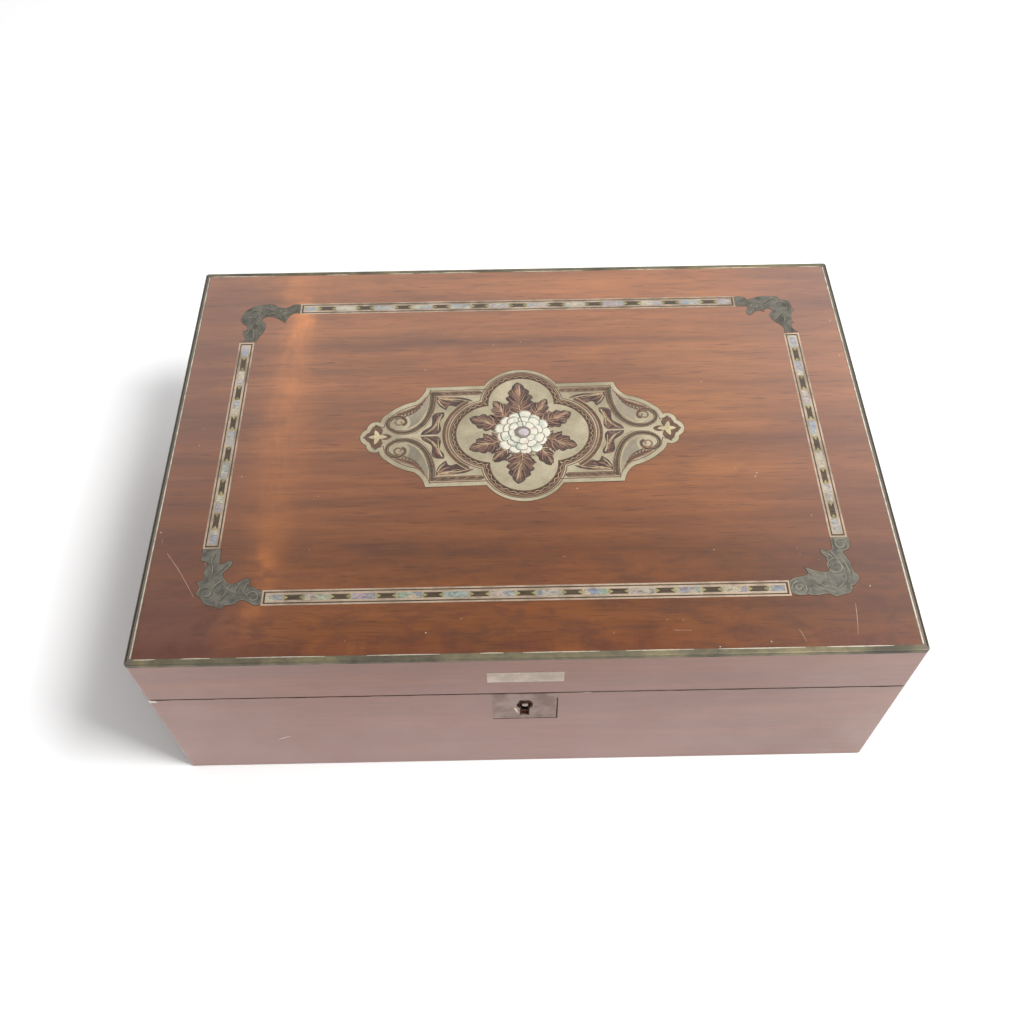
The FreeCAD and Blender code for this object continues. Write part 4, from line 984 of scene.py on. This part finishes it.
def scalloped_disc(verts, faces, count, radius, phase, low, high):
    """A dark disc with a lobed edge that shows as the outline of a ring of petals."""
    steps = 14 * count
    base = len(verts)
    for z in (low, high):
        for i in range(steps):
            a = 2 * math.pi * i / steps
            s = ((a * count / (2 * math.pi) - phase + 0.5) % 1.0) * 2 - 1
            k = math.floor(a * count / (2 * math.pi) - phase + 0.5)
            wobble = petal_size(2 * math.pi * (k + phase) / count, count)
            r = radius * petal_edge(s) * wobble
            verts.append(((CART_X + r * math.cos(a)) * MM, (CART_Y + r * math.sin(a)) * MM, z * MM))
    faces.append(tuple(range(base + steps, base + 2 * steps)))
    faces.append(tuple(range(base + steps - 1, base - 1, -1)))
    for i in range(steps):
        j = (i + 1) % steps
        faces.append((base + i, base + j, base + steps + j, base + steps + i))


def make_flower(look):
    """Rings of carved petals over dark outlines; the top ring curls round the pearl."""
    rings = [(13, 7.6, 14.0, 0.0, 0.00), (10, 5.4, 10.9, 0.4, 0.15), (8, 3.4, 7.5, 0.1, 0.30)]
    verts, faces = [], []
    dark_verts, dark_faces = [], []
    for count, inner, outer, phase, height in rings:
        level = CART_TOP + 0.03 + height
        scalloped_disc(dark_verts, dark_faces, count, outer + 0.26, phase, level - 0.04, level + 0.02)
        for k in range(count):
            angle = 2 * math.pi * (k + phase) / count
            size = (outer - 0.10) * petal_size(angle, count)
            petal(verts, faces, inner, size, angle, math.pi / count * 0.965, level + 0.05, 0.10, -0.06)
    petals = add_piece("flower_carved_petals", verts, faces, look["bone"], "lid",
                       smooth_shading=True)
    thick = petals.modifiers.new("thickness", "SOLIDIFY")
    thick.thickness = 0.10 * MM
    thick.offset = -1
    add_piece("flower_petal_outlines", dark_verts, dark_faces, look["bone_shade"], "lid")
    split = Strips("flower_split", "lid", look["bone_shade"], "bone")
    split.line(cart([(0.6, 3.6), (-0.2, 7.6), (-1.6, 13.0)]), 0.40, 0.25, CART_TOP, CART_TOP + 0.60)
    split.make()


def make_pearl(look):
    """A domed oval set a little off the middle of its seat."""
    rows = 6
    around = 28
    verts = []
    for j in range(rows):
        rise = math.sin(math.pi / 2 * j / (rows - 1))
        size = math.cos(math.pi / 2 * j / (rows - 1) * 0.96)
        for i in range(around):
            a = 2 * math.pi * i / around
            verts.append(((CART_X + 0.45 + 2.75 * size * math.cos(a)) * MM,
                          (CART_Y - 0.35 + 2.45 * size * math.sin(a)) * MM,
                          (CART_TOP + 0.70 + 0.42 * rise) * MM))
    faces = stack_faces(rows, around)
    faces += [tuple(range((rows - 1) * around, rows * around)), tuple(range(around - 1, -1, -1))]
    add_piece("pearl_cabochon", verts, faces, look["pearl"], "lid", smooth_shading=True)


def make_leaves(look):
    """Serrated leaves laid over the inlay, wider than it where they meet the flower."""
    verts, faces = [], []
    for base, tip, width in LEAVES:
        leaf(verts, faces, base, tip, width, lobe_count(width))
    add_piece("leaf_plates", verts, faces, look["red_brown"], "lid")


def leaf(verts, faces, base, tip, width, lobes):
    """A thin plate with toothed lobes pointing to its tip."""
    length = math.dist(base, tip)
    ux, uy = unit(tip[0] - base[0], tip[1] - base[1])
    steps = 8 * lobes
    start = len(verts)
    rows = []
    for i in range(steps + 1):
        t = i / steps
        tooth = (t * lobes) % 1.0
        lobe = 0.58 + 0.42 * tooth ** 0.8 + 0.05 * math.sin(t * lobes * 6 * math.pi)
        rows.append((t * length, leaf_half_width(t, width) * lobe + 0.05))
    top = CART_TOP + 0.03 + 0.0015 * (start % 7)
    for z in (CART_TOP - 0.01, top):
        for s, half in rows:
            for w in (-half, 0, half):
                x, y = base[0] + s * ux - w * uy, base[1] + s * uy + w * ux
                (px, py), = cart([(x, y)])
                verts.append((px * MM, py * MM, z * MM))
    layer = 3 * (steps + 1)
    for i in range(steps):
        for k in (0, 1):
            a = start + 3 * i + k
            faces.append((a + layer, a + layer + 1, a + layer + 4, a + layer + 3))
            faces.append((a + 3, a + 4, a + 1, a))
        left = start + 3 * i
        right = left + 2
        faces.append((left + layer, left + layer + 3, left + 3, left))
        faces.append((right, right + 3, right + layer + 3, right + layer))


# --- corner mounts --------------------------------------------------------------------------
def corner_scrolls():
    """Engraved scrolls and leaf veins of each mount, in mm on the lid."""
    return {
        "front_right": [
            spiral(144.6, -80.2, 4.6, 0.8, 60, 1.6), spiral(149.2, -67.8, 3.4, 0.7, 20, 1.4),
            spiral(125.8, -91.2, 3.3, 3.3, 0, 1.0), spiral(125.8, -91.2, 1.8, 0.5, 0, 1.3),
            [(146.6, -71.6), (148.2, -75.4), (149.6, -80.2), (150.6, -85.4), (148.4, -89.0)],
            [(143.8, -72.0), (145.4, -75.0), (148.0, -82.0), (147.6, -87.6), (143.8, -91.6)],
            [(131.0, -82.8), (133.0, -86.4), (136.4, -90.0), (141.6, -92.4)],
            [(130.0, -87.4), (133.6, -90.8), (138.4, -93.6)],
            [(138.6, -84.2), (139.6, -88.0), (143.0, -90.4)],
            [(134.2, -83.6), (136.4, -86.6), (139.2, -88.8)],
            [(140.2, -72.4), (142.4, -73.6), (144.2, -75.8)],
        ],
        "front_left": [
            spiral(-147.0, -88.2, 3.8, 0.8, 200, -1.3), spiral(-125.0, -90.8, 3.2, 0.6, 160, -1.2),
            [(-145.6, -66.0), (-146.6, -71.0), (-145.4, -76.0), (-146.2, -81.0)],
            [(-139.0, -72.4), (-141.6, -75.6), (-144.6, -78.8)], [(-149.6, -71.8), (-147.6, -76.4)],
            [(-140.4, -81.6), (-143.6, -84.8), (-145.2, -89.6)],
            [(-136.4, -84.6), (-138.0, -89.0), (-141.2, -93.4)],
            [(-131.6, -83.0), (-133.4, -87.0), (-131.4, -91.4)],
            [(-128.4, -83.2), (-129.6, -87.2), (-127.0, -91.0)],
            [(-139.4, -83.8), (-135.4, -87.4), (-129.4, -89.4)],
        ],
        "back_left": [
            spiral(-146.4, 90.6, 4.0, 0.8, 30, 1.2), spiral(-130.0, 91.4, 3.0, 0.6, 40, 1.1),
            [(-145.0, 71.4), (-144.8, 76.6), (-146.4, 81.6), (-145.4, 86.4)],
            [(-141.0, 79.6), (-143.4, 83.0), (-146.0, 85.6)], [(-149.0, 75.8), (-147.0, 80.0)],
            [(-138.0, 90.6), (-134.2, 92.8), (-129.0, 94.6)],
            [(-141.6, 95.6), (-137.0, 94.4), (-133.0, 91.2)],
            [(-130.6, 86.8), (-132.6, 89.8), (-136.0, 91.4)],
        ],
        "back_right": [
            spiral(147.0, 90.0, 4.2, 0.8, 150, -1.3), spiral(131.6, 91.2, 3.2, 0.6, 150, -1.2),
            [(148.4, 72.0), (146.8, 77.0), (147.4, 82.4), (145.0, 86.8)],
            [(142.0, 80.2), (144.6, 83.4), (147.0, 85.4)], [(151.0, 77.4), (149.0, 82.0)],
            [(139.2, 90.6), (135.2, 92.6), (129.8, 93.8)], [(144.0, 96.0), (139.4, 94.8), (135.6, 90.6)],
            [(129.6, 86.2), (131.8, 88.8), (135.0, 90.0)],
        ],
    }


def engrave_corners(light, dark):
    for corner, lines in corner_scrolls().items():
        node = "corner_mount_" + corner
        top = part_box(node)[1].z / MM
        rubbed = 0.24 if corner == "front_right" else 0.12
        for points in lines:
            light.line(points, 0.35, 0.18, top - SINK, top + 0.07, swell=rubbed)
            shifted = [(x + 0.55, y - 0.45) for x, y in points]
            dark.line(shifted, 0.4, 0.2, top - SINK, top + 0.03, swell=0.25)
        # The pale line round each mount's edge is a painted highlight, wider on the front right mount.
        rim(light, node, 0.0, 0.22 if corner != "front_right" else 0.34, 0.05)


# --- edging, plates, wear -------------------------------------------------------------------
def highlight_and_rubbed_edging(bright, dark):
    """Where the brass edging is rubbed bright, with a painted highlight along it: long runs at the sides,
    broken ones at the front.
    """
    low_corner, high_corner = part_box("lid_edging")
    top = high_corner.z / MM
    x = high_corner.x / MM
    y = -low_corner.y / MM
    width = 3.0
    for side in (-1, 1):
        bright.line([(side * (x - width + 0.5), -y + 3.4), (side * (x - width + 0.5), y - 3.4)], 0.6, 0.5,
                    top - SINK, top + 0.03)
        dark.line([(side * (x - 0.9), -y + 2.0), (side * (x - 0.9), y - 2.0)], 0.7, 0.7, top - SINK,
                  top + 0.02)
    for edge in (-1, 1):
        place = -x + 4
        while place < x - 6:
            run = rng.uniform(8, 46)
            stop = min(place + run, x - 4)
            bright.line([(place, edge * (y - width + 0.25)),
                         ((place + stop) / 2, edge * (y - width + rng.uniform(0.1, 0.4))),
                         (stop, edge * (y - width + 0.25))], 0.18, 0.18, top - SINK, top + 0.03,
                        swell=0.28)
            place = stop + rng.uniform(3, 30)


def band_lines(look):
    """A hair line of brass beside the shell in each band, and gilt edges to the dark blocks."""
    low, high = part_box("band_brass_lines")
    top = high.z / MM
    half = 4.1           # half a band's width
    hair = 2.45          # from a band's middle to each hair line
    fine = Strips("band_hair_lines", "lid", look["line_brass"], "line_brass")
    front, back = low.y / MM + half, high.y / MM - half
    left, right = low.x / MM + half, high.x / MM - half
    runs = [[(-119.2, y + side), (119.7, y + side)] for y in (front, back) for side in (-hair, hair)]
    runs += [[(x + side, -62.2), (x + side, 67.7)] for x in (left, right) for side in (-hair, hair)]
    for run in runs:
        fine.line(run, 0.28, 0.28, top - SINK, top + 0.02)
    fine.make()
    gilt = Strips("band_block_points", "lid", look["block_gold"], "line_brass")
    for loop in top_loops("band_ebony_blocks")[0]:
        xs = [p[0] for p in loop]
        ys = [p[1] for p in loop]
        middle = ((min(xs) + max(xs)) / 2, (min(ys) + max(ys)) / 2)
        reach = ((max(xs) - min(xs)) / 2, (max(ys) - min(ys)) / 2)
        along = 0 if reach[0] > reach[1] else 1
        for side in (-1, 1):
            wide = list(middle)
            point = list(middle)
            wide[along] += side * (reach[along] + 0.5)
            point[along] += side * (reach[along] - 1.9)
            gilt.line([tuple(wide), tuple(point)], 2.9, 0.25, top - SINK, top + 0.012)
    gilt.make()


def joint_lines(gap):
    """Fine dark glue lines round the inlaid cartouche plate and corner mounts on the top."""
    rim(gap, "cartouche_plate", -0.22, 0.22, -0.06, longest_only=True)
    for corner in corner_scrolls():
        rim(gap, "corner_mount_" + corner, -0.22, 0.22, -0.06)


MARK_DEPTH = 0.12    # of a chip or scratch, into the wood
MARK_LIFT = 0.03     # how far it stands in front of the face, so that it shows


def flat_mark(name, y, corners, look):
    """A small chip or scratch on the base's front: a thin facet at y, its corners given by x and z."""
    count = len(corners)
    verts = [(x * MM, at * MM, z * MM) for at in (y, y + MARK_DEPTH) for x, z in corners]
    faces = [tuple(range(count)), tuple(range(2 * count - 1, count - 1, -1))]
    faces += [(i, count + i, count + (i + 1) % count, (i + 1) % count) for i in range(count)]
    add_piece(name, verts, faces, look, "base")


def seam_shadow(look):
    """A dark strip of painted shade in the joint under the lid, uneven in width."""
    low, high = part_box("base_front_veneer")
    y = low.y / MM
    top = high.z / MM - 0.02
    half = high.x / MM - 2.0
    verts = []
    faces = []
    count = 90
    for i in range(count + 1):
        x = -half + 2 * half * i / count
        drop = 0.55 + 0.22 * math.sin(i * 1.7) * math.sin(i * 0.63) + rng.uniform(-0.10, 0.14)
        drop = 0.12 if 26.5 < x < 31.0 else drop
        for depth in (-0.03, 0.15):
            verts += [(x * MM, (y + depth) * MM, top * MM), (x * MM, (y + depth) * MM, (top - drop) * MM)]
    for i in range(count):
        a = 4 * i
        faces += [(a, a + 1, a + 5, a + 4), (a + 2, a + 6, a + 7, a + 3), (a, a + 4, a + 6, a + 2),
                  (a + 1, a + 3, a + 7, a + 5)]
    faces += [(0, 2, 3, 1), (4 * count, 4 * count + 1, 4 * count + 3, 4 * count + 2)]
    add_piece("seam_painted_shade", verts, faces, look["dirt_and_shade"], "base")


def top_wear(scratches):
    """Fine pale scratches in the polish of the top, in mm on the lid."""
    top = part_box("lid_top_veneer")[1].z / MM
    marks = [[(-168.4, -66.0), (-161.0, -76.0), (-152.0, -90.4)],
             [(149.6, -100.0), (148.8, -108.0), (147.6, -116.0)],
             [(121.8, -112.6), (123.2, -116.0), (124.0, -119.0)], [(128.2, -69.0), (128.3, -70.4)],
             [(129.0, -72.6), (129.1, -73.6)], [(137.0, -76.0), (137.6, -76.6)],
             [(63.0, -106.4), (64.0, -106.6)],
             [(70.0, -107.0), (71.2, -107.0)], [(66.0, -112.0), (74.0, -112.2)],
             [(150.0, 20.0), (150.4, 23.0)],
             [(-172.0, -58.0), (-171.6, -61.0)], [(-30.0, -104.0), (-28.6, -104.0)],
             [(18.0, -72.0), (19.6, -71.8)]]
    for points in marks:
        scratches.line(points, 0.14, 0.08, top - 0.01, top + 0.02, swell=0.10)


def make_keyhole(look):
    """A dark band of painted shade just inside the keyhole's edge, with the lock's pin standing in it."""
    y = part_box("escutcheon_plate")[0].y / MM
    x, z = LOCK_X, KEY_Z
    outline = smooth([(-2.3, 5.2), (0.2, 5.3), (2.5, 5.0), (3.9, 2.0), (3.2, -1.6), (2.3, -3.6),
                      (2.0, -6.6),
                      (-2.0, -6.6), (-2.3, -3.6), (-3.6, -1.0), (-3.0, 2.4)], closed=True, steps=4)
    count = len(outline)
    verts = []
    faces = []
    for depth in (-0.05, 0.20):
        for inner in (0, 1):
            for u, v in outline:
                near = 0.70 if inner else 1.0
                verts.append(((x + u * near) * MM, (y + depth) * MM, (z + v * near) * MM))
    for i in range(count):
        j = (i + 1) % count
        faces += [(i, j, count + j, count + i),
                  (2 * count + j, 2 * count + i, 3 * count + i, 3 * count + j),
                  (count + i, count + j, 3 * count + j, 3 * count + i),
                  (j, i, 2 * count + i, 2 * count + j)]
    add_piece("keyhole_rim", verts, faces, look["dirt_and_shade"], "base")
    around = 16
    verts = []
    for depth, r in ((6.0, 1.7), (0.5, 1.7), (0.25, 1.45)):
        for i in range(around):
            a = 2 * math.pi * i / around
            verts.append(((x + 0.2 + r * math.cos(a)) * MM, (y + depth) * MM,
                          (z - 0.6 + r * math.sin(a)) * MM))
    faces = stack_faces(3, around)
    faces += [tuple(range(2 * around, 3 * around)), tuple(range(around - 1, -1, -1))]
    add_piece("lock_pin_end", verts, faces, look["pin"], "base")


def front_wear(look):
    """Chips and scratches on the front, and the open joint beside the lock's face plate."""
    plate_low, plate_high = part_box("escutcheon_plate")
    x0, z0 = plate_low.x / MM, plate_low.z / MM
    x1, z1 = plate_high.x / MM, plate_high.z / MM
    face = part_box("base_front_veneer")[0].y / MM - MARK_LIFT
    on_plate = face - 0.08
    proud = face - 0.1
    marks = [
        ("scratch_base", face, "chip", "walnut_polish",
         [(-126.0, 33.0), (-122.4, 35.6), (-118.8, 37.2), (-119.0, 36.8), (-122.4, 34.9)]),
        ("chip_seam_left", face, "chip", "walnut_polish",
         [(-177.6, 82.0), (-174.2, 81.4), (-173.6, 79.6), (-177.4, 79.2)]),
        ("seam_chip", face, "scratch", "walnut_polish",
         [(26.8, 82.2), (30.6, 82.3), (30.0, 81.4), (27.4, 81.5)]),
        ("plate_joint_right", on_plate, "dirt_and_shade", "walnut_polish",
         [(x1, z0), (x1 + 0.7, z0), (x1 + 0.5, z1 - 5), (x1, z1 - 5)]),
        ("plate_joint_below", on_plate, "dirt_and_shade", "walnut_polish",
         [(x0, z0 - 0.6), (x1 + 0.5, z0 - 0.6), (x1 + 0.5, z0), (x0, z0)]),
        ("keyhole_chip", proud, "chip", "mount_metal",
         [(-6.4, 66.4), (-5.2, 65.4), (-3.8, 59.6), (-5.2, 62.2)]),
    ]
    for name, y, material, slot, corners in marks:
        flat_mark(name, y, corners, look[material])


# --- leather tooling and ink ----------------------------------------------------------------
def tooling(look, node_name, body, sign):
    """Gold-tooled lines on a writing leather. sign: which way the written-on face looks, up or down."""
    faces_seen = [f for f in NODES[node_name].data.polygons if sign * f.normal.z > 0.8]
    points = [NODES[node_name].data.vertices[i].co for f in faces_seen for i in f.vertices]
    front = min(points, key=lambda p: p.y)
    back = max(points, key=lambda p: p.y)
    half = max(p.x for p in points)
    span = back.y - front.y
    verts = []
    faces = []
    for gap, width in ((5.0, 0.6), (7.0, 1.4), (9.4, 0.5)):
        rect = []
        for inset_by in (gap * MM, (gap + width) * MM):
            for u, v in ((-1, 0), (1, 0), (1, 1), (-1, 1)):
                t = abs(v - inset_by / span)
                rect.append((u * (half - inset_by), front.y + span * t, front.z + (back.z - front.z) * t))
        base = len(verts)
        verts += [(x, y, z + sign * 0.00005) for x, y, z in rect]
        verts += [(x, y, z - sign * 0.00007) for x, y, z in rect]
        for i in range(4):
            j = (i + 1) % 4
            faces.append((base + i, base + j, base + 4 + j, base + 4 + i))
            faces.append((base + 8 + j, base + 8 + i, base + 12 + i, base + 12 + j))
            faces.append((base + j, base + i, base + 8 + i, base + 8 + j))
            faces.append((base + 4 + i, base + 4 + j, base + 12 + j, base + 12 + i))
    add_piece(node_name + "_tooling", verts, faces, look["tooling"], body)


def make_ink(look):
    """Ink standing in each bottle, with a meniscus at the glass."""
    low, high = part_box("ink_bottles")
    centre_y = (low.y + high.y) / 2
    half = (high.y - low.y) / 2
    for side, name in ((-1, "ink_left"), (1, "ink_right")):
        centre_x = side * (high.x - half)
        profile = [(0.0, 4.3), (13.6, 4.3), (14.7, 5.4), (14.7, 22.6), (14.2, 22.2), (12.6, 21.9),
                   (0.0, 21.8)]
        steps = 32
        verts = []
        for r, z in profile:
            for i in range(steps):
                a = 2 * math.pi * i / steps
                verts.append((centre_x + r * MM * math.cos(a), centre_y + r * MM * math.sin(a),
                              low.z + z * MM))
        add_piece(name, verts, stack_faces(len(profile), steps), look["ink"], "base",
                  outward=True, merge=True)


# --- build ----------------------------------------------------------------------------------
make_camera()
make_world()
area_light("key", place=(0.78, -0.32, 1.45), aim=(0.0, 0.0, 0.05), size=(0.5, 0.5), power=27.0)
make_floor()
look = make_materials()
dress_cad_nodes(look)

gold = Strips("gold_engraving", "lid", look["gold"], "line_brass")
copper = Strips("copper_engraving", "lid", look["copper"], "line_brass")
brown = Strips("brown_engraving", "lid", look["brown_line"], "red_brown_lacquer")
dark = Strips("leaf_outlines", "lid", look["gap"], "ebony")
engrave_leaves(gold, copper, dark)
stars = Strips("trefoil_stars", "lid", look["star"], "line_brass")
engrave_small_leaves(gold, copper, brown, stars)
engrave_fields(brown, copper)
engrave_ring(gold, brown, copper)
engrave_frame(look, brown, copper, gold)
make_flower(look)
make_pearl(look)

mount_light = Strips("mount_raised_lines", "lid", look["mount_light"], "mount_metal")
mount_dark = Strips("mount_grooves", "lid", look["mount_dark"], "mount_metal")
engrave_corners(mount_light, mount_dark)
bright = Strips("edging_highlight_and_rubbed_lines", "lid", look["edging_bright"], "edging_brass")
edging_dark = Strips("edging_dark_lines", "lid", look["gap"], "edging_brass")
highlight_and_rubbed_edging(bright, edging_dark)
joints = Strips("inlay_joint_lines", "lid", look["gap"], "ebony")
joint_lines(joints)
band_lines(look)
for strips in (gold, copper, brown, dark, stars, mount_light, mount_dark, bright, edging_dark, joints):
    strips.make()
make_leaves(look)
scratches = Strips("top_scratches", "lid", look["scratch"], "walnut_polish")
top_wear(scratches)
scratches.make()
seam_shadow(look)
front_wear(look)
make_keyhole(look)
tooling(look, "base_flap_leather", "base_flap", 1)
tooling(look, "lid_flap_leather", "lid_flap", -1)
make_ink(look)

scene = bpy.context.scene
scene.view_settings.view_transform = "Standard"
scene.view_settings.look = "None"
